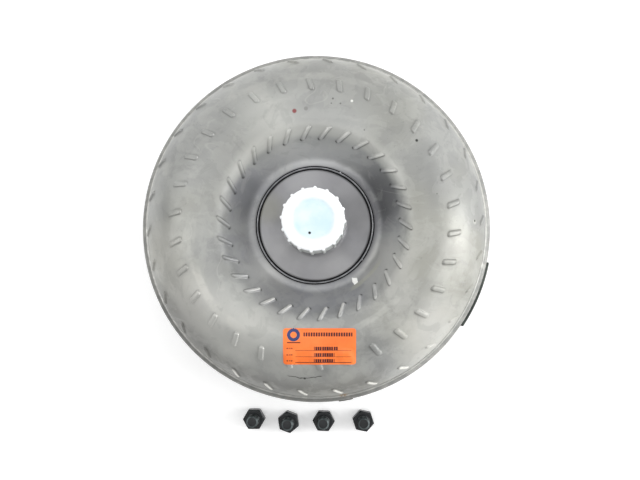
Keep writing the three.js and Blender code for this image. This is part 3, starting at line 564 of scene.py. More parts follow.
def rusted(n, base):
    """A speck of rust across the rim, with dark grains in it."""
    place = n.spot(20.6, -124.2, 97.5, 3.6, 1.4)
    base = n.over(base, (150, 116, 72), place, n.patches((520, 3), 0.42, 0.52))
    return n.over(base, (50, 40, 32), place, n.patches((760, 3), 0.54, 0.6))


def banded(n, base):
    """The wavering stains of SHELL_BANDS, broken up along their length."""
    turn = n.math("ARCTAN2", n.axis("Y"), n.axis("X"))
    waver = n.math("SUBTRACT", n.noise(34, 4, 0.6), 0.5)
    breaks = n.patches((62, 3), 0.4, 0.52, 0.25, 1.0)
    fade = 12
    for middle, half, first, last, sway, tint, share in SHELL_BANDS:
        away = n.apart(n.plus(n.radius(), n.times(waver, sway * MM)), middle * MM)
        band = n.ramp(away, half * 0.6 * MM, half * 1.4 * MM, share, 0.0)
        begin = n.ramp(turn, math.radians(first), math.radians(first + fade))
        end = n.ramp(turn, math.radians(last - fade), math.radians(last), 1.0, 0.0)
        base = n.over(base, tint, band, breaks, n.times(begin, end))
    return base


def painted_crown_light(n, base):
    """A pale ring of painted light on the crown behind the bowl, on its upper side."""
    ring = n.times(n.ramp(n.radius(), 0.0605, 0.0645), n.ramp(n.radius(), 0.066, 0.075, 1.0, 0.0))
    return n.over(base, (214, 214, 208), ring, n.ramp(n.axis("Y"), 0.012, 0.045, 0.0, 0.48))


def tide_lined(n, base):
    """Faint pale lines where a film dried."""
    line = n.ramp(n.apart(n.noise(15, 3, 0.5, 0.5), 0.52), 0.001, 0.006, 1.0, 0.0)
    return n.over(base, (204, 204, 198), line, n.patches((21, 2), 0.5, 0.62, 0.0, 0.16))


def seat_edge_and_shade(n, base):
    """A dark edge on the shell's seat beside the hub's weld, and painted shade on the seat, strongest on the
    right.
    """
    wide = n.ramp(n.radius(), 0.0433, 0.0475, 0.7, 0.0)
    base = n.over(base, (96, 96, 100), wide, n.ramp(n.axis("X"), 0.0, 0.04, 0.2, 1.0))
    return n.mix(n.ramp(n.radius(), 0.0432, 0.0441, 0.25, 0.0), base, (46, 46, 50))


def shell_metal():
    """Blasted steel under a grey film, with stains, a cooler bowl and a few marks, and with painted light and
    shade: broad patches, a pale crown ring, a darker bowl and lower flank, shade on the seat and at the
    bumps' feet, and highlights on some bumps' crests.
    """
    n = Nodes("shell_blasted_steel")
    base = n.mix(n.patches((13, 5, 0.6, 0.8), 0.38, 0.64), (146, 147, 145), (164, 165, 162))
    base = mottled(n, base, BROAD_MOTTLES)
    base = n.mix(n.ramp(n.radius(), 0.056, 0.072, 0.6, 0.0), base, (158, 159, 165))
    # Broad patches: partly stains, partly painted light and shade.
    base = n.stains_and_shading(base, SHELL_PATCHES_AND_SHADING)
    # Painted shade in the bowl, cut off at a ragged radius.
    ragged = n.plus(n.radius(), n.times(n.noise(40, 3), 0.004))
    base = n.stains_and_shading(base, BOWL_SHADE, n.ramp(ragged, 0.062, 0.0675, 1.0, 0.0))
    base = painted_crown_light(n, banded(n, base))
    # Painted shade on the lower flank.
    base = n.over(base, FLANK_SHADE, shaded_low_flank(n), 0.66)
    base = mottled(n, tide_lined(n, base), FINE_MOTTLES)
    base = seat_edge_and_shade(n, base)
    # Painted shade at the bumps' feet.
    base = n.over(base, (62, 62, 61), n.attribute("painted_foot_shade"), 0.75)
    for place, size, tint, share in SHELL_MARKS:
        base = n.over(base, tint, n.spot(*place, size, size * MARK_SOFTNESS), share)
    # The scratch, and over it the painted highlights on the bumps' crests.
    base = n.mix(n.attribute("painted_crest_highlight"), scratched(n, base), (240, 239, 232))
    fine = n.bump(n.noise(1100, 3), 0.00003)
    broad = n.bump(n.noise(60, 3), 0.0004, 0.5, under=fine)
    return n.done(rusted(n, base), n.patches((35, 4), 0.3, 0.7, 0.42, 0.58), broad, Metallic=0.55)


def weld_metal(name, dark, light, metallic, flank_shade=0.0):
    """A weld bead's steel, with a share of the painted shade and the rust that lie on the lower flank."""
    n = Nodes(name)
    base = n.mix(n.patches((160, 4), 0.35, 0.65), dark, light)
    if flank_shade:
        base = rusted(n, n.over(base, FLANK_SHADE, shaded_low_flank(n), flank_shade))
    sheen = n.patches((300, 3), 0.3, 0.7, 0.35, 0.6)
    return n.done(base, sheen, n.bump(n.noise(900, 3), 0.00004), Metallic=metallic)


def plastic(name, dark, light, roughness, grain):
    """A slightly cloudy plastic, paper, paint or rubber."""
    n = Nodes(name)
    base = n.mix(n.patches((45, 4), 0.35, 0.65), dark, light)
    sheen = n.patches((120, 3), 0.3, 0.7, roughness - 0.05, roughness + 0.08)
    return n.done(base, sheen, n.bump(n.noise(grain, 3), 0.00003))


def cap_plastic(name, web):
    """The cap's thin moulded plastic: bluish where the web is thin, and greyed down the skirt by painted
    shade.
    """
    n = Nodes(name)
    cloud = n.patches((45, 4), 0.35, 0.65)
    base = n.mix(cloud, (238, 242, 244), (248, 250, 252))
    if web:
        edge = n.plus(n.radius(), n.times(n.noise(120, 3), 0.003))
        thin = n.mix(cloud, (204, 228, 236), (226, 239, 244))
        base = n.mix(n.ramp(edge, 0.0137, 0.0175, 1.0, 0.0), base, thin)
    else:
        # Painted shade down the skirt.
        down = n.ramp(n.axis("Z"), (CAP_TOP_Z - 0.9) * MM, (CAP_TOP_Z - 4) * MM, 0.0, 0.8)
        base = n.mix(down, base, n.mix(cloud, (168, 174, 170), (190, 195, 191)))
    sheen = n.patches((120, 3), 0.3, 0.7, 0.34, 0.48)
    return n.done(base, sheen, n.bump(n.noise(600, 3), 0.00003), IOR=1.5)


SHELL = shell_metal()
FLANGE = turned_metal("flange_steel", (128, 128, 131), (148, 148, 150), 0.6, 0.4, 0.0384, FLANGE_SHADING)
COVER = plain_metal("cover_blasted_steel", (118, 119, 117), (146, 147, 144), 0.6, 0.5, grain=700)
MACHINED = turned_metal("machined_steel", (128, 128, 131), (148, 148, 150), 0.6, 0.4)
RIM_BEAD = weld_metal("rim_weld_steel", (136, 137, 134), (158, 158, 154), 0.5, 0.35)
RIM_CREST_HIGHLIGHT = weld_metal("rim_crest_painted_highlight", (176, 176, 172), (200, 200, 195), 0.55, 0.15)
HUB_BEAD = weld_metal("hub_weld_steel", (130, 131, 134), (164, 165, 168), 0.6)
GROOVE = plain_metal("groove_oxide", (10, 10, 12), (24, 24, 27), 0.2, 0.7, grain=900)
STAMPED = plain_metal("stamped_steel", (104, 106, 110), (130, 132, 136), 0.8, 0.42)
SPRING = plain_metal("spring_steel", (52, 54, 56), (78, 80, 82), 0.85, 0.38)
CAST = plain_metal("cast_aluminium", (160, 162, 165), (186, 188, 190), 0.8, 0.5, grain=500, depth=0.00008)
BLACK = plain_metal("black_oxide", (20, 22, 24), (38, 41, 43), 0.25, 0.4, grain=900, patch=160)
WORN_BLACK = plain_metal("worn_black_oxide", (36, 41, 42), (62, 68, 68), 0.4, 0.34, grain=900, patch=200)
BOLT_EDGE_HIGHLIGHT = plain_metal("bolt_edge_painted_highlight", (58, 65, 66), (98, 106, 107), 0.5, 0.36, grain=900, patch=200)
SCALE = plain_metal("mill_scale", (52, 58, 54), (84, 91, 85), 0.3, 0.6, grain=500, patch=90)
CAP_WHITE = cap_plastic("cap_white", False)
CAP_BLUE = cap_plastic("cap_blue_web", True)
LINING = plastic("friction_lining", (74, 56, 42), (100, 78, 58), 0.85, 900)
TACK = plain_metal("burnt_tack", (34, 32, 28), (58, 54, 46), 0.3, 0.6, grain=700, patch=120)
PAINT = plastic("white_paint_flake", (240, 240, 234), (252, 252, 248), 0.5, 900)
RUBBER = plastic("seal_rubber", (22, 22, 24), (34, 34, 36), 0.6, 600)
BRONZE = turned_metal("bronze", (142, 112, 64), (168, 136, 84), 0.85, 0.4)
LABEL = plastic("label_orange", (247, 116, 44), (255, 131, 58), 0.45, 300)
INK_DARK = plastic("label_ink_dark", (66, 8, 8), (90, 14, 12), 0.55, 300)
INK_BLUE = plastic("label_ink_blue", (34, 44, 92), (48, 60, 112), 0.45, 300)


# ---------- pump shell ----------


def shell_line(step, inset=0.0):
    """The shell's outside from its bore to its skirt, inset by a length: points and their outward normals."""
    shoulder = TORUS + (TORUS_RADIUS - SHOULDER_RADIUS) * unit(SHOULDER_FROM)
    cone_top = shoulder + SHOULDER_RADIUS * unit(CONE_NORMAL)
    normal = unit(CONE_NORMAL)
    fillet_z = FLANGE_Z + FILLET_RADIUS
    fillet_x = cone_top[0] + (FILLET_RADIUS - (fillet_z - cone_top[1]) * normal[1]) / normal[0]
    fillet = np.array([fillet_x, fillet_z])
    cone_foot = fillet + FILLET_RADIUS * unit(CONE_NORMAL - 180)
    spans = [
        line_span([SHELL_BORE, FLANGE_Z - 0.25], [SHELL_BORE + 0.25, FLANGE_Z], unit(135), 0.3),
        line_span([SHELL_BORE + 0.25, FLANGE_Z], [fillet_x, FLANGE_Z], unit(90), step),
        arc_span(fillet, FILLET_RADIUS, -90, CONE_NORMAL - 180, min(step, 0.7)),
        line_span(cone_foot, cone_top, normal, step),
        arc_span(shoulder, SHOULDER_RADIUS, CONE_NORMAL, SHOULDER_FROM, step),
        arc_span(TORUS, TORUS_RADIUS, SHOULDER_FROM, 0, step),
        line_span([TORUS[0] + TORUS_RADIUS, TORUS[1]], [TORUS[0] + TORUS_RADIUS, SKIRT_Z], unit(0), step),
    ]
    points = np.vstack([s[0] if i == 0 else s[0][1:] for i, s in enumerate(spans)])
    normals = np.vstack([s[1] if i == 0 else s[1][1:] for i, s in enumerate(spans)])
    return points - inset * normals, normals


def unit(degrees):
    """The direction at an angle in the (radius, z) plane."""
    a = math.radians(degrees)
    return np.array([math.cos(a), math.sin(a)])


def line_span(start, end, normal, step):
    """Points on a straight part of the shell line, with their normals."""
    start, end = np.array(start, dtype=float), np.array(end, dtype=float)
    count = max(2, int(np.linalg.norm(end - start) / step) + 1)
    points = start + np.linspace(0, 1, count)[:, None] * (end - start)
    return points, np.repeat(normal[None, :], count, axis=0)


def arc_span(centre, radius, start, end, step):
    """Points on an arc of the shell line, with normals that point out of the shell."""
    count = max(3, int(radius * abs(math.radians(end - start)) / step) + 1)
    points = arc(centre, radius, start, end, count)
    normals = (points - centre) / radius
    return points, normals if end < start else -normals


def row_facts():
    """Each bump row's place along a finely stepped shell line."""
    points, normals = shell_line(0.05)
    along = np.concatenate([[0], np.cumsum(np.linalg.norm(np.diff(points, axis=0), axis=1))])
    section = np.degrees(np.arctan2(points[:, 1] - TORUS[1], points[:, 0] - TORUS[0]))
    facts = []
    for row in BUMP_ROWS:
        ends = [along[np.argmin(np.abs(section - s))] for s in row["sections"]]
        facts.append({**row, "middle": sum(ends) / 2, "half": abs(ends[1] - ends[0]) / 2})
    return points, normals, along, facts


LINE, LINE_NORMALS, ALONG, ROWS = row_facts()


def bump_height(row, along, across):
    """A bump's height and the painted shade round its foot, from the distances along and across its middle
    line.
    """
    half_length = row["half"]
    dx = np.abs(along) - (half_length - BUMP_CORNER)
    dy = np.abs(across) - (row["width"] / 2 - BUMP_CORNER)
    outside = np.hypot(np.maximum(dx, 0), np.maximum(dy, 0)) + np.minimum(np.maximum(dx, dy), 0) - BUMP_CORNER
    toward_hub = np.clip(0.5 - along / (2 * half_length), 0, 1)
    clockwise = smooth(across, 0.6, -0.6)
    flank = row["flanks"][0] * clockwise + row["flanks"][1] * (1 - clockwise)
    crest = row["heights"][0] * toward_hub + row["heights"][1] * (1 - toward_hub)
    height = crest * (1 - smooth(outside, -flank, 0.15))
    hub_end = smooth(toward_hub, 0.8, 1.0) * (row["foot_shade"] > 0.5)
    shaded = np.maximum(clockwise * (0.3 + 0.7 * toward_hub), hub_end)
    # Painted shade round the foot, strongest on the clockwise flank and at the hub end.
    foot = np.exp(-(((outside - 0.05) / 0.4) ** 2)) * row["foot_shade"] * (0.2 + 1.1 * shaded)
    return height, foot


def row_stops(row):
    """Where the mesh has its rows near a bump row: close together at the bumps' ends."""
    ends = [0.5, 0.1, -0.2, -0.5, -0.8, -1.2, -1.8]
    left = [-row["half"] - e for e in ends]
    right = [row["half"] + e for e in ends]
    inner = np.arange(-row["half"] + 2.8, row["half"] - 2.7, 1.2)
    return row["middle"] + np.array(sorted([*left, *inner, *right]))


def column_offsets(row, radius):
    """The turns of a bump's mesh columns about its middle, close together at its flanks."""
    near = np.degrees((np.array([-0.95, -0.6, -0.3, 0.0, 0.35]) + row["width"] / 2) / radius)
    side = np.concatenate([near, np.linspace(near[-1], BUMP_PITCH / 2, 7)[1:-1]])
    return np.concatenate([-side[::-1], [0.0], side])


def leaning(row, along):
    """The turn of a bump's middle line at a distance along it."""
    return row["lean"] * np.clip(-along / row["half"], -1.25, 1.25)


def between_rows(k, s):
    """0 at bump row k and 1 at the next one, for a distance along the shell line."""
    before, after = ROWS[k], ROWS[k + 1]
    return smooth(s, before["middle"] + before["half"] + 1, after["middle"] - after["half"] - 1)


def shell_rows():
    """The rows of the shell's outside: their distances along the line, and the turns of their columns."""
    stops = [row_stops(row) for row in ROWS]
    edges = [0.0, *[v for s in stops for v in (s[0], s[-1])], ALONG[-1]]
    along = []
    for i in range(0, len(edges), 2):
        gap = edges[i + 1] - edges[i]
        count = max(2, int(gap / 1.3) + 1)
        along.extend(np.linspace(edges[i], edges[i + 1], count)[:-1])
        if i // 2 < len(stops):
            along.extend(stops[i // 2])
    along.append(ALONG[-1])
    along = np.unique(np.round(along, 4))
    layouts = []
    for row in ROWS:
        offsets = column_offsets(row, np.interp(row["middle"], ALONG, LINE[:, 0]))
        starts = row["first"] + np.arange(BUMP_COUNT) * BUMP_PITCH
        layouts.append((starts[:, None] + offsets[None, :]).ravel())
    turns = []
    for s in along:
        blocks = [layout + leaning(row, s - row["middle"]) for layout, row in zip(layouts, ROWS)]
        inner, outer = between_rows(0, s), between_rows(1, s)
        turns.append((blocks[0] * (1 - inner) + blocks[1] * inner) * (1 - outer) + blocks[2] * outer)
    return along, np.array(turns)


def raised(along, turn):
    """The bumps' height and the painted shade at their feet, at distances along the shell line and turns
    about Z.
    """
    height = np.zeros(np.broadcast(along, turn).shape)
    foot_shade = height.copy()
    radius = np.interp(along, ALONG, LINE[:, 0])
    for row in ROWS:
        u = along - row["middle"]
        nearest = (turn - leaning(row, u) - row["first"] + BUMP_PITCH / 2) % BUMP_PITCH - BUMP_PITCH / 2
        bump, foot = bump_height(row, u, np.radians(nearest) * radius)
        height = np.maximum(height, bump)
        foot_shade = np.maximum(foot_shade, foot)
    return height, foot_shade


# Where the bumps' crests get a painted highlight: the row, the turn in the middle of the highlighted ones, a
# crest's height and the strength.
CREST_HIGHLIGHTS = [(ROWS[2], 272, 1.1, 0.75), (ROWS[0], 262, 1.2, 0.35)]


def painted_crest_highlight(along, turns, height):
    """How strongly the crests of the outer and inner rows get a painted highlight: only at the front."""
    glint = np.zeros(height.shape)
    for row, turn, crest, share in CREST_HIGHLIGHTS:
        near = smooth(np.abs(along - row["middle"]), row["half"] + 1, row["half"] - 0.3)
        front = smooth(np.abs(turns % 360 - turn), 46, 26)
        glint += near * front * smooth(height, crest - 0.5, crest) * share
    return glint


def pump_shell():
    """The shell's sheet with its bumps, and with the painted shade at their feet and the painted highlights
    on their crests.
    """
    along, turns = shell_rows()
    points = np.column_stack([np.interp(along, ALONG, LINE[:, i]) for i in (0, 1)])
    normals = np.column_stack([np.interp(along, ALONG, LINE_NORMALS[:, i]) for i in (0, 1)])
    height, foot_shade = raised(along[:, None], turns)
    radius = points[:, :1] + height * normals[:, :1]
    z = points[:, 1:] + height * normals[:, 1:]
    inner = shell_line(4.0, SHELL_WALL)[0][::-1]
    share = np.linspace(1, 0, len(inner))[:, None]
    inside = on_turn(inner[:, :1], inner[:, 1:], turns[-1:] * share + turns[:1] * (1 - share))
    shape = Shape().grid(np.concatenate([on_turn(radius, z, turns), inside]), loop_rows=True)
    skin = shape.piece("pump_shell_skin", 50)
    # The painted shade at the bumps' feet and the painted highlights on their crests, kept at the mesh's
    # points.
    for name, values in (("painted_foot_shade", foot_shade), ("painted_crest_highlight", painted_crest_highlight(along[:, None], turns, height))):
        values = np.concatenate([values.ravel(), np.zeros(inside.size // 3)])
        skin.data.attributes.new(name, "FLOAT", "POINT").data.foreach_set("value", values)
    return skin


placed(pump_shell(), "housing", [SHELL], ["pump_shell"])


def paint_fleck():
    """A thin flake of white paint stuck to the bowl."""
    corners = np.array([[-2.1, 2.2], [1.6, 2.2], [2.2, -1.0], [-0.2, -2.9], [-1.7, -0.8]])
    sides = zip(corners, np.roll(corners, -1, axis=0))
    edge = [a + (b - a) * t for a, b in sides for t in np.arange(0, 1, 0.2)]
    ragged = 1 + 0.05 * np.sin(np.arange(len(edge)) * 2.3)
    edge = np.array(edge) * ragged[:, None]
    rows = []
    for share, lift in ((1.0, -0.15), (1.0, 0.2), (0.93, 0.3), (0.6, 0.38), (0.1, 0.4)):
        x, y = FLECK_PLACE[0] + edge[:, 0] * share, FLECK_PLACE[1] + edge[:, 1] * share
        z = np.interp(np.hypot(x, y), LINE[:, 0], LINE[:, 1]) + lift
        rows.append(np.column_stack([x, y, z]))
    return Shape().grid(np.array(rows), cap_ends=True).piece("paint_fleck", 40)


placed(paint_fleck(), "housing", [PAINT])


# ---------- hub flange, hub and welds ----------


def hub_piece():
    """The turned hub: a flat flange with a seat, a root fillet and a tube with two drive notches."""
    outside = rounded([
        [HUB_BORE, HUB_SEAT_Z],
        [HUB_FLANGE_RADIUS - 5, HUB_SEAT_Z],
        [HUB_FLANGE_RADIUS - 3, FLANGE_Z - SHELL_WALL],
        [HUB_FLANGE_RADIUS, FLANGE_Z - SHELL_WALL],
        [HUB_FLANGE_RADIUS, FLANGE_Z],
        [HUB_RADIUS + 4, FLANGE_Z],
    ], 0.35)
    root = arc((HUB_RADIUS + 4, FLANGE_Z + 4), 4, -90, -180, 8)[1:]
    tube = [[HUB_RADIUS, z] for z in np.linspace(FLANGE_Z + 5, HUB_TOP_Z - 0.8, 30)]
    top = rounded([
        [HUB_RADIUS, HUB_TOP_Z - 0.8],
        [HUB_RADIUS - 0.8, HUB_TOP_Z],
        [HUB_BORE + 0.5, HUB_TOP_Z],
        [HUB_BORE, HUB_TOP_Z - 0.5],
    ], 0.3)[1:]
    bore = [[HUB_BORE, z] for z in np.linspace(HUB_TOP_Z - 2, HUB_SEAT_Z + 1, 30)]
    profile = np.vstack([outside, root, tube, top, bore])

    def notch(radius, z, turn):
        foot = HUB_TOP_Z - HUB_NOTCH_DEPTH
        across = np.abs(np.sin(np.radians(turn))) * radius
        inside = (across < HUB_NOTCH_HALF) & (radius < HUB_RADIUS + 0.1) & (z > foot)
        return radius, np.where(inside, foot, z)

    return lathe("pump_hub_turned", profile, 288, notch, sharp=30)


def hub_weld():
    """The bead between the flange and the shell: a narrow ripple with a dark groove on each side."""
    middle, half, foot = WELD_RADIUS, WELD_HALF, FLANGE_Z - 2.4
    crown = arc((middle, 0), half, 0, 180, 9) * [1, 0.75] + [0, FLANGE_Z - 0.25]
    profile = np.vstack([[[middle + half, foot]], crown, [[middle - half, foot]]])

    def ripple(radius, z, turn):
        wave = np.sin(np.radians(turn * 150)) * 0.05 + np.sin(np.radians(turn * 7 + 20)) * 0.05
        lumps = sum(np.exp(-(((turn - t + 180) % 360 - 180) / 0.8) ** 2) for t in (64.3, 323.6))
        return radius + (radius > middle) * lumps * 0.8, z + (z > FLANGE_Z - 1) * (wave + lumps * 0.35)

    return lathe("hub_weld_bead", profile, 1200, ripple, sharp=60)


def groove_floor():
    """The dark oxide at the foot of the two grooves beside the weld bead."""
    inner, outer = HUB_FLANGE_RADIUS + 0.02, SHELL_BORE - 0.02
    under, over = FLANGE_Z - 3.2, FLANGE_Z - 1.7
    return lathe("hub_groove_floor", [[inner, under], [outer, under], [outer, over], [inner, over]], 360)


placed(hub_piece(), "housing", [FLANGE], ["pump_hub"])
placed(hub_weld(), "housing", [HUB_BEAD], ["hub_weld"])
placed(groove_floor(), "housing", [GROOVE])


def rim_weld():
    """The bead that closes the housing: a crest beside the shell, made brighter as a painted highlight, and a
    slope down to the cover.
    """
    inner = TORUS[0] + TORUS_RADIUS
    profile = rounded([
        [COVER_RADIUS - 0.15, COVER_LIP_Z + 0.1],
        [COVER_RADIUS - 0.1, COVER_LIP_Z + 1.0],
        [COVER_RADIUS - 1.3, COVER_LIP_Z + 2.4],
        [inner + 1.2, COVER_LIP_Z + 3.5],
        [inner + 1.0, COVER_LIP_Z + 4.1],
        [inner + 0.3, COVER_LIP_Z + 4.3],
        [inner - 0.3, COVER_LIP_Z + 4.4],
        [inner - 0.2, COVER_LIP_Z + 2.0],
        [inner + 0.05, COVER_LIP_Z + 0.1],
    ], 0.6, 5)
    lowest = COVER_LIP_Z + 0.7

    def ripple(radius, z, turn):
        slant = (radius - inner) * 0.9
        wave = np.abs(np.sin(np.radians(turn * 170 + slant * 60))) - 0.6
        swell = np.sin(np.radians(turn * 5 + 40)) * 0.08 + np.sin(np.radians(turn * 13)) * 0.05
        slope = smooth(radius, inner + 1.0, inner + 1.8)
        return radius, z + (z > lowest) * (0.07 * wave * slope + swell)

    columns = 1440
    shape = Shape().grid(turned(profile, columns, ripple), loop_rows=True)
    radius, z = profile.T
    # The crest takes the brighter steel, a painted highlight.
    crest = (radius > inner + 0.1) & (radius < inner + 1.1) & (z > COVER_LIP_Z + 3.9)
    shape.slots = np.repeat(crest.astype(int), columns).tolist()
    return shape.piece("rim_weld_bead", 60)


placed(rim_weld(), "housing", [RIM_BEAD, RIM_CREST_HIGHLIGHT], ["rim_weld"])


# ---------- shipping cap ----------


def hub_cap():
    """A ribbed white cap with a rounded crown edge and a thinner recessed web."""
    inside_radius, web_z, under_z = CAP_RADIUS - 0.9, CAP_TOP_Z - CAP_WEB_DROP, CAP_TOP_Z - 1.85
    skirt = [[CAP_RADIUS, z] for z in np.linspace(CAP_LOW_Z, CAP_TOP_Z - 1.4, 20)]
    crown = arc((CAP_RADIUS - 1.2, CAP_TOP_Z - 1.2), 1.2, 0, 90, 8)
    fall = np.linspace(0, 1, 7)
    recess_z = CAP_TOP_Z - CAP_WEB_DROP * smooth(fall, 0, 1)
    recess = np.column_stack([CAP_RECESS_RADIUS + 2.6 * (0.5 - fall), recess_z])
    web = [[r, web_z] for r in (12.1, 11, 8, 5, 2, 0.05)]
    inside = [[inside_radius, CAP_LOW_Z], [inside_radius, CAP_TOP_Z - 2.3], [inside_radius - 0.4, under_z],
              [0.05, under_z]]
    profile = np.vstack([np.vstack([skirt, crown, recess, web])[::-1], inside])
    columns, pitch = 640, 360 / CAP_RIBS

    def ribs(radius, z, turn):
        away = np.abs((turn - CAP_RIB_FIRST + pitch / 2) % pitch - pitch / 2)
        across = np.radians(away) * CAP_RADIUS
        crest = np.sqrt(np.clip(1 - (across / 1.15) ** 2, 0, 1)) * 1.05
        fade = smooth(z, CAP_TOP_Z + 0.1, CAP_TOP_Z - 1.1) * (radius > CAP_RADIUS - 0.7)
        draft = (CAP_TOP_Z - z) / (CAP_TOP_Z - CAP_LOW_Z) * 0.25
        return radius + crest * fade + (radius > CAP_RADIUS - 0.2) * draft * (z < CAP_TOP_Z), z

    shape = Shape().grid(turned(profile, columns, ribs), cap_ends=True)
    blue = (profile[:, 0] < CAP_RECESS_RADIUS + 1.4) & (profile[:, 1] > CAP_TOP_Z - 1.5)
    shape.slots = [*np.repeat((blue[:-1] & blue[1:]).astype(int), columns).tolist(), 1, 0]
    return shape.piece("hub_cap_moulding", 40)


placed(hub_cap(), "cap", [CAP_WHITE, CAP_BLUE], ["hub_cap"])


def gate_mark():
    """The small dark pip the moulding gate leaves on the cap's web."""
    profile = rounded([[0.02, -0.1], [0.95, -0.1], [0.75, 0.3], [0.02, 0.42]], 0.1)
    pip = lathe("hub_cap_gate_pip", profile, 24, solid=True)
    pip.location = (-2.2 * MM, -9.2 * MM, (CAP_TOP_Z - CAP_WEB_DROP) * MM)
    return pip


placed(gate_mark(), "cap", [BLACK])


# ---------- label ----------


def widened(field, reach, combine):
    """A height field spread by some cells in every direction: its local maximum, or its local mean."""
    for axis in (0, 1):
        pad = [(0, 0), (0, 0)]
        pad[axis] = (reach, reach)
        wide = np.pad(field, pad, mode="edge")
        parts = [np.take(wide, range(i, i + field.shape[axis]), axis) for i in range(2 * reach + 1)]
        field = combine.reduce(parts) / (len(parts) if combine is np.add else 1)
    return field


def label_height(x, y, bumps):
    """The shell's height at points near its crown, with a share of its bumps."""
    radius = np.hypot(x, y)
    section = np.degrees(np.arccos(np.clip((radius - TORUS[0]) / TORUS_RADIUS, -1, 1)))
    arc_start = ALONG[np.argmin(np.abs(LINE[:, 0] - (TORUS[0] + TORUS_RADIUS * unit(SHOULDER_FROM)[0])))]
    along = arc_start + np.radians(SHOULDER_FROM - section) * TORUS_RADIUS
    out = TORUS_RADIUS + raised(along, np.degrees(np.arctan2(y, x)) % 360)[0] * bumps
    return TORUS[1] + np.sqrt(out**2 - (radius - TORUS[0]) ** 2)


def label_marks(x, y):
    """Which ink is at a point of the label, measured from its top left corner: 0 paper, 1 dark, 2 blue."""
    ink = np.zeros(x.shape, dtype=int)
    disc = np.hypot(x - 7.3, y - 4.6)
    ink[(disc < 4.5) & (disc > 2.2)] = 2
    ink[(np.abs(x - 7.3) < 4.6) & (np.abs(y - 10.0) < 0.28)] = 1
    ink[(np.abs(y - 4.3) < 1.35) & (x > 14.2) & (x < 48.4) & (x % 1.75 < 1.2)] = 1
    for line, start, end in ((15.4, 21.4, 38.2), (19.8, 21.4, 35.9), (23.9, 21.4, 35.9)):
        ink[(np.abs(y - line) < 0.16) & (x > 8.6) & (x < 47.5)] = 1
        ink[(np.abs(y - line + 1.35) < 1.2) & (x > start) & (x < end) & (x % 1.6 < 1.3)] = 1
        ink[(np.abs(y - line + 1.3) < 0.5) & (x > 2.6) & (x < 6.8) & (x % 1.3 < 0.7)] = 1
    return ink


def id_label():
    """A thin printed sheet on the crown, smoothed over the bumps it covers, with plain marks for print."""
    columns, rows, corner = 204, 104, 2.0
    gu, gv = np.meshgrid(np.linspace(0, LABEL_SIZE[0], columns), np.linspace(0, LABEL_SIZE[1], rows))
    cu = np.clip(gu, corner, LABEL_SIZE[0] - corner)
    cv = np.clip(gv, corner, LABEL_SIZE[1] - corner)
    du, dv = gu - cu, gv - cv
    reach, length = np.maximum(np.abs(du), np.abs(dv)), np.hypot(du, dv)
    squeeze = np.where((length > 0) & (du * dv != 0), reach / np.maximum(length, 1e-9), 1.0)
    gu, gv = cu + du * squeeze, cv + dv * squeeze
    x = LABEL_CENTRE[0] - LABEL_SIZE[0] / 2 + gu
    y = LABEL_CENTRE[1] + LABEL_SIZE[1] / 2 - gv
    bare, bumpy = label_height(x, y, 0.0), label_height(x, y, 1.0)
    lift = widened(widened(bumpy - bare, 8, np.maximum), 8, np.add)
    top = np.stack([x, y, np.maximum(bare + lift, bumpy) + 0.16], axis=-1)
    shape = Shape().grid(top, loop_columns=False)
    ink = label_marks((gu[:-1, :-1] + gu[1:, 1:]) / 2, (gv[:-1, :-1] + gv[1:, 1:]) / 2)
    shape.slots = ink.ravel().tolist()
    count = columns * rows
    shape.points.extend((top - [0, 0, 0.12]).reshape(-1, 3).tolist())
    shape.faces.extend([[i + count for i in reversed(f)] for f in grid_faces(rows, columns, False, False)])
    ring = [*range(columns), *range(2 * columns - 1, count, columns),
            *range(count - 2, count - columns - 1, -1), *range(count - 2 * columns, 0, -columns)]
    shape.faces.extend([a, a + count, b + count, b] for a, b in zip(ring, ring[1:] + ring[:1]))
    shape.slots.extend([0] * (len(shape.faces) - len(shape.slots)))
    return shape.piece("id_label_sheet", 60)


placed(id_label(), "housing", [LABEL, INK_DARK, INK_BLUE], ["id_label"])


# ---------- cover, pilot, lugs and balance weight ----------


def front_cover():
    """The pressed cover: a stepped face with a boss, a rounded corner and a cylindrical wall."""
    inside_radius = COVER_RADIUS - COVER_WALL
    boss_z = low("front_cover").z
    corner = (COVER_RADIUS - COVER_CORNER, COVER_FACE_Z + COVER_CORNER)
    face = rounded([
        [0.05, boss_z],
        [BOSS_RADIUS, boss_z],
        [BOSS_RADIUS + 5, COVER_FACE_Z],
        [62, COVER_FACE_Z],
        [64, COVER_FACE_Z + 0.8],
        [84, COVER_FACE_Z + 0.8],
        [86, COVER_FACE_Z],
        [COVER_RADIUS - COVER_CORNER, COVER_FACE_Z],
    ], 1.6, 5)
    wall = [[COVER_RADIUS, z] for z in (46, 54, 62, 70, 78, 86)]
    lip = rounded([
        [COVER_RADIUS, 86],
        [COVER_RADIUS, COVER_LIP_Z],
        [inside_radius, COVER_LIP_Z],
        [inside_radius, 60],
    ], 0.4)[1:]
    inner_corner = arc(corner, COVER_CORNER - COVER_WALL, 0, -90, 8)
    inside = [
        [BOSS_RADIUS + 7, COVER_FACE_Z + COVER_WALL],
        [BOSS_RADIUS + 2, boss_z + COVER_WALL],
        [0.05, boss_z + COVER_WALL],
    ]
    profile = np.vstack([face, arc(corner, COVER_CORNER, -90, 0, 12)[1:], wall, lip, inner_corner, inside])
    return lathe("front_cover_pressing", profile, 360, solid=True)


placed(front_cover(), "housing", [COVER], ["front_cover"])


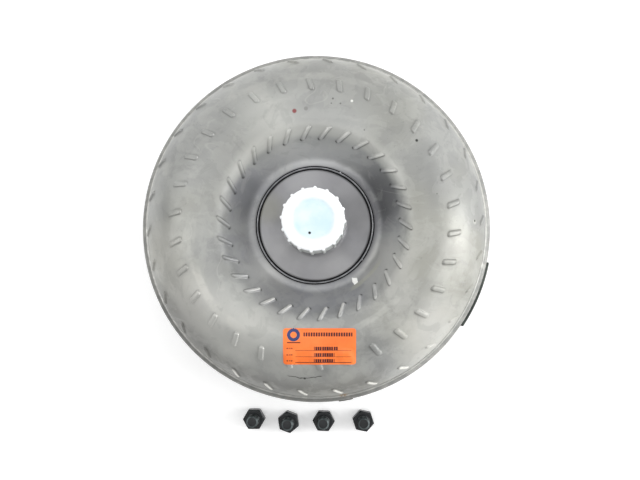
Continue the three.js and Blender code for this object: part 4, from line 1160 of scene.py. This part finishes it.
def pilot():
    """The pilot on its flange, with a centre-drilled end and a turned groove."""
    seat = high("pilot_hub").z
    profile = rounded([
        [0.05, 6.5], [1.6, 6.0], [1.6, 3.2], [4.6, 0.0], [PILOT_RADIUS - 1.5, 0.0], [PILOT_RADIUS, 1.5],
        [PILOT_RADIUS, 8.0], [PILOT_RADIUS - 0.8, 8.4], [PILOT_RADIUS - 0.8, 10.0], [PILOT_RADIUS, 10.4],
        [PILOT_RADIUS, seat - 5], [PILOT_RADIUS + 2, seat - 3], [25.6, seat - 3], [26.0, seat - 2.6],
        [26.0, seat - 0.1], [0.05, seat - 0.1],
    ], 0.3)
    return lathe("pilot_turned", profile, 240, solid=True)


def pilot_weld():
    """The fillet weld around the pilot's flange."""
    seat = high("pilot_hub").z
    fillet = arc((26.0, seat - 0.1), 1.5, -90, 0, 7)
    profile = np.vstack([[[25.9, seat - 0.05]], fillet, [[27.0, seat - 0.02]]])

    def ripple(radius, z, turn):
        wave = np.sin(np.radians(turn * 60)) * 0.1
        return radius + (z < seat - 0.2) * wave, z

    return lathe("pilot_weld_bead", profile, 480, ripple, sharp=60)


placed(pilot(), "housing", [MACHINED], ["pilot_hub"])
placed(pilot_weld(), "housing", [RIM_BEAD])


def rounded_pad(size, corner, count):
    """The outline of a pad with rounded corners, as turns and radii from its centre."""
    turn = np.arange(count) * 360 / count
    direction = np.stack([np.cos(np.radians(turn)), np.sin(np.radians(turn))])
    half = np.array(size)[:, None] / 2
    lowest, highest = np.zeros(count), np.full(count, 60.0)
    for _ in range(30):
        middle = (lowest + highest) / 2
        away = np.abs(direction * middle) - (half - corner)
        outside = np.hypot(*np.maximum(away, 0)) + np.minimum(np.maximum(*away), 0) > corner
        highest = np.where(outside, middle, highest)
        lowest = np.where(outside, lowest, middle)
    return turn, lowest


def thread(radius, depth, z, turn, start, end):
    """A helical thread's radius at heights and turns, fading out at both ends."""
    phase = (z / THREAD_PITCH - turn / 360) % 1
    flank = np.abs(phase - 0.5) * 2
    form = np.clip(flank * 1.35 - 0.17, 0, 1)
    fade = smooth(z, start, start + THREAD_PITCH) * smooth(z, end, end - THREAD_PITCH)
    return radius - depth * form * fade


def lug(index, turn):
    """A welded drive block with eased edges and a threaded hole in its face."""
    face, root = low(f"drive_lug_{index}").z, COVER_FACE_Z - 0.1
    turns, outline = rounded_pad(LUG_SIZE, LUG_CORNER, 96)
    mouth, thread_end = LUG_HOLE + 0.9, face + LUG_HOLE_DEPTH - THREAD_PITCH
    rows = []
    for z, inset in ((root, 0.0), (face + 1.2, 0.0), (face + 0.5, 0.2), (face + 0.15, 0.55), (face, 1.0)):
        rows.append(on_turn(outline - inset, z, turns))
    for share in (0.6, 0.3, 0.0):
        rows.append(on_turn(mouth + (outline - 1.0 - mouth) * share, face, turns))
    for z in np.arange(face + 0.9, thread_end, THREAD_PITCH / 8):
        shift = thread(LUG_HOLE, 0.75, z, turns, face + 0.6, thread_end)
        rows.append(on_turn(2 * LUG_HOLE - shift - 0.6, z, turns))
    rows.append(on_turn(LUG_HOLE - 0.6, face + LUG_HOLE_DEPTH - 1.0, turns))
    rows.append(on_turn(0.3, face + LUG_HOLE_DEPTH, turns))
    points = spun(np.array(rows) + [LUG_CIRCLE, 0, 0], turn)
    return Shape().grid(points, cap_ends=True).piece(f"drive_lug_{index}_block", 40)


def lug_weld(index, turn):
    """The fillet weld around a drive block's foot."""
    turns, outline = rounded_pad(LUG_SIZE, LUG_CORNER, 240)
    wave = np.sin(np.radians(np.arange(len(turns)) * 18)) * 0.12
    rows = [on_turn(outline - 0.3, COVER_FACE_Z + 0.02, turns)]
    for along in np.linspace(0, 90, 6):
        out = LUG_WELD_LEG * (1 - math.sin(math.radians(along))) + 0.05
        down = LUG_WELD_LEG * (1 - math.cos(math.radians(along)))
        rows.append(on_turn(outline + out + wave * 0.6 * (out > 0.3), COVER_FACE_Z - down - 0.02, turns))
    points = spun(np.array(rows) + [LUG_CIRCLE, 0, 0], turn)
    return Shape().grid(points, loop_rows=True).piece(f"drive_lug_{index}_weld", 60)


for i, turn in enumerate(LUG_TURNS, 1):
    placed(lug(i, turn), "housing", [COVER], [f"drive_lug_{i}"])
    placed(lug_weld(i, turn), "housing", [RIM_BEAD])


def rim_strip(name, first, last, reach, z_low, z_high):
    """A strip of plate curved to the cover, between two reaches from it, with its ends sheared."""
    inner, outer = COVER_RADIUS + reach[0], COVER_RADIUS + reach[1]
    middle = np.array([(inner + outer) / 2, (z_low + z_high) / 2])
    section = rounded([
        [inner, z_low],
        [outer, z_low],
        [outer, z_high],
        [inner, z_high],
        [inner, middle[1]],
        [inner, z_low],
    ], min(0.7, (outer - inner) * 0.3), 5)[1:-1]
    start = [first, first + 0.12, first + 0.4]
    end = [last - 0.4, last - 0.12, last]
    rows = []
    for turn in (*start, *np.linspace(first + 0.8, last - 0.8, 60), *end):
        edge = min(turn - first, last - turn)
        shrink = 0.88 if edge < 0.05 else (0.96 if edge < 0.2 else 1.0)
        ring = middle + (section - middle) * np.array([shrink, 1 - (1 - shrink) * 0.25])
        rows.append(on_turn(ring[:, 0], ring[:, 1], turn))
    return Shape().grid(np.array(rows), cap_ends=True).piece(name, 40)


WEIGHT_LOW, WEIGHT_HIGH = low("balance_weight").z, high("balance_weight").z
weight = rim_strip("balance_weight_strip", *WEIGHT_TURNS, (0.1, 2.88), WEIGHT_LOW, WEIGHT_HIGH)
placed(weight, "housing", [SCALE], ["balance_weight"])
tack = rim_strip("rim_weld_tack", *TACK_TURNS, (0.02, 1.3), WEIGHT_LOW + 6, WEIGHT_HIGH)
placed(tack, "housing", [TACK])


# ---------- bolts ----------


def bolt(node, turn):
    """A hexagon bolt on its head, with chamfered corners, a washer face and a rolled thread."""
    turns = np.arange(72) * 5.0
    hexagon = BOLT_HALF_FLATS / np.cos(np.radians((turns + 30) % 60 - 30))
    head, collar, top = BOLT_HEAD - 0.6, BOLT_HEAD, high(node).z
    rings = [(0.2, 0.0), (7.4, 0.0)]
    for z in (0.15, 0.35, 0.6, 0.9, 1.3):
        rings.append((np.minimum(hexagon, 7.5 + z * 1.75), z))
    for z in (*np.linspace(2.5, head - 1.0, 5), head - 0.6, head - 0.4, head - 0.2, head):
        rings.append((np.minimum(hexagon, 7.6 + (head - z) * 1.75), z))
    rings += [(7.6, head + 0.05), (7.5, collar), (5.6, collar), (BOLT_THREAD, collar + 0.6)]
    for z in np.arange(collar + 1.0, top - 0.2, THREAD_PITCH / 8):
        crest = thread(BOLT_THREAD, 0.85, z, turns, collar + 1.2, top + 1.5)
        rings.append((np.minimum(crest, 4.0 + (top - z) * 0.9), z))
    rings += [(3.9, top - 0.05), (3.6, top), (0.2, top)]
    centre = (low(node) + high(node)) / 2
    points = spun(np.array([on_turn(radius, z, turns) for radius, z in rings]), turn)
    shape = Shape().grid(points + [centre.x, centre.y, 0], cap_ends=True)
    # The head is black, the thread is rubbed, its chamfer is painted bright as a highlight and the end face
    # is black.
    zone = np.digitize([z for _, z in rings[:-1]], [collar + 0.4, top - 1.15, top - 0.04], right=True)
    shape.slots = [*np.repeat(np.array([0, 1, 2, 0])[zone], len(turns)).tolist(), 0, 0]
    return shape.piece(f"{node}_threaded", 30)


for i, turn in enumerate(BOLT_TURNS, 1):
    node = f"flexplate_bolt_{i}"
    placed(bolt(node, turn), f"bolt_{i}", [BLACK, WORN_BLACK, BOLT_EDGE_HIGHLIGHT], [node])


# ---------- damper springs ----------


def coil_rows(middle):
    """The rings of wire along a coil on an arc about a turn, with a flat turn at each end."""
    t = np.linspace(0, 1, 209)[:, None]
    rate = smooth(t, 0.08, 0.18) * smooth(1 - t, 0.08, 0.18)
    turn = middle + SPRING_ARC * (np.cumsum(rate)[:, None] / rate.sum() - 0.5)
    wind = TAU * SPRING_TURNS * t
    outward, up = on_turn(1.0, 0.0, turn)[:, 0], np.array([0, 0, 1])
    radial = np.cos(wind) * outward + np.sin(wind) * up
    centre = SPRING_CIRCLE * outward + SPRING_Z * up + SPRING_COIL * radial
    side = np.cross(np.gradient(centre, axis=0), radial)
    side /= np.linalg.norm(side, axis=1, keepdims=True)
    around = np.radians(np.arange(14) * 360 / 14)[None, :, None]
    return centre[:, None] + SPRING_WIRE * (np.cos(around) * radial[:, None] + np.sin(around) * side[:, None])


def damper_coil(index, middle):
    """A damper spring in two halves."""
    rows = coil_rows(middle)
    half = len(rows) // 2
    for side, part, slant in (("a", rows[: half + 1], SPRING_SLANT), ("b", rows[half:], -SPRING_SLANT)):
        coil = Shape().grid(part, cap_ends=True).piece(f"damper_coil_{index}{side}", 40)
        placed(coil, "damper", [SPRING], [f"damper_spring_{index}"])
        axis = on_turn(1.0, 0.0, middle + 90 - slant).tolist()
        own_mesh(coil)


for i in range(1, 7):
    damper_coil(i, 60 * i - 30)


# ---------- finishes of the sealed inner pieces ----------

FINISHES = {
    "machined_steel": MACHINED,
    "stamped_steel": STAMPED,
    "spring_steel": SPRING,
    "cast_aluminium": CAST,
    "friction_lining": LINING,
    "seal_rubber": RUBBER,
    "bronze": BRONZE,
}
for part in frame["record"]["subparts"]:
    node = frame["nodes"][part["node"]]
    if part["material_slot"] in FINISHES and not node.hide_render:
        node.data.materials.clear()
        node.data.materials.append(FINISHES[part["material_slot"]])


# ---------- floor, light and camera ----------

FLOOR_REACH = 3000
LIGHT_DISTANCE = 1.7
LIGHT_SIZE = 0.9
LIGHT_AIM_Z = 0.08

def floor():
    """A wide pale floor that glows a little, as a lit white table does."""
    n = Nodes("white_sweep")
    material = n.done(n.mix(n.patches((3, 2), 0.3, 0.7), (246, 246, 246), (250, 250, 250)), 0.8)
    n.shader.inputs["Emission Color"].default_value = (1, 1, 1, 1)
    n.shader.inputs["Emission Strength"].default_value = 0.27
    x, y = np.meshgrid(np.linspace(-FLOOR_REACH, FLOOR_REACH, 9), np.linspace(-FLOOR_REACH, FLOOR_REACH, 9))
    sweep = Shape().grid(np.stack([x, y, 0 * x], axis=-1), loop_columns=False).piece("floor_sweep")
    if sweep.data.polygons[0].normal.z < 0:
        sweep.data.flip_normals()
    sweep.data.materials.append(material)


def soft_light(name, azimuth, elevation, power):
    """A square area light aimed at the middle of the converter."""
    light = bpy.data.lights.new(name, "AREA")
    light.shape = "SQUARE"
    light.size = LIGHT_SIZE
    light.energy = power
    obj = bpy.data.objects.new(name, light)
    bpy.context.scene.collection.objects.link(obj)
    a, e = math.radians(azimuth), math.radians(elevation)
    away = np.array([math.cos(a) * math.cos(e), math.sin(a) * math.cos(e), math.sin(e)])
    obj.location = away * LIGHT_DISTANCE + np.array([0, 0, LIGHT_AIM_Z])
    obj.rotation_euler = (math.pi / 2 - e, 0, a + math.pi / 2)


# The soft boxes round the table: azimuth, elevation and power. The key light is low on the right.
SOFT_BOXES = [
    ("right_low", 0, 14, 7.5),
    ("key_right", 0, 32, 8.5),
    ("right_high", 0, 50, 3.5),
    ("back_right", 45, 18, 4.0),
    ("back_low", 90, 18, 2.5),
    ("back_high", 90, 50, 3.6),
    ("back_left", 135, 18, 3.2),
    ("left_high", 180, 50, 7.5),
    ("front_right", 315, 18, 4.5),
    ("overhead", 0, 89.9, 3.5),
]


def lights():
    """The soft boxes and a dim even surround."""
    world = bpy.data.worlds.new("studio")
    world.use_nodes = True
    world.node_tree.nodes["Background"].inputs["Color"].default_value = (1, 1, 1, 1)
    world.node_tree.nodes["Background"].inputs["Strength"].default_value = 0.4
    bpy.context.scene.world = world
    for name, azimuth, elevation, power in SOFT_BOXES:
        soft_light(name, azimuth, elevation, power)


def camera():
    """The camera above the converter, a little in front of its middle."""
    lens = bpy.data.cameras.new("photo_angle")
    lens.lens = 48.35
    lens.sensor_width = 36
    lens.shift_x, lens.shift_y = -0.0172, 0.0547
    eye = bpy.data.objects.new("photo_angle", lens)
    bpy.context.scene.collection.objects.link(eye)
    eye.location = (0.0193, -0.0561, 0.7321)
    eye.rotation_euler = (math.radians(1.86), math.radians(0.72), 0)
    bpy.context.scene.camera = eye


floor()
lights()
camera()
bpy.context.scene.view_settings.view_transform = "Standard"
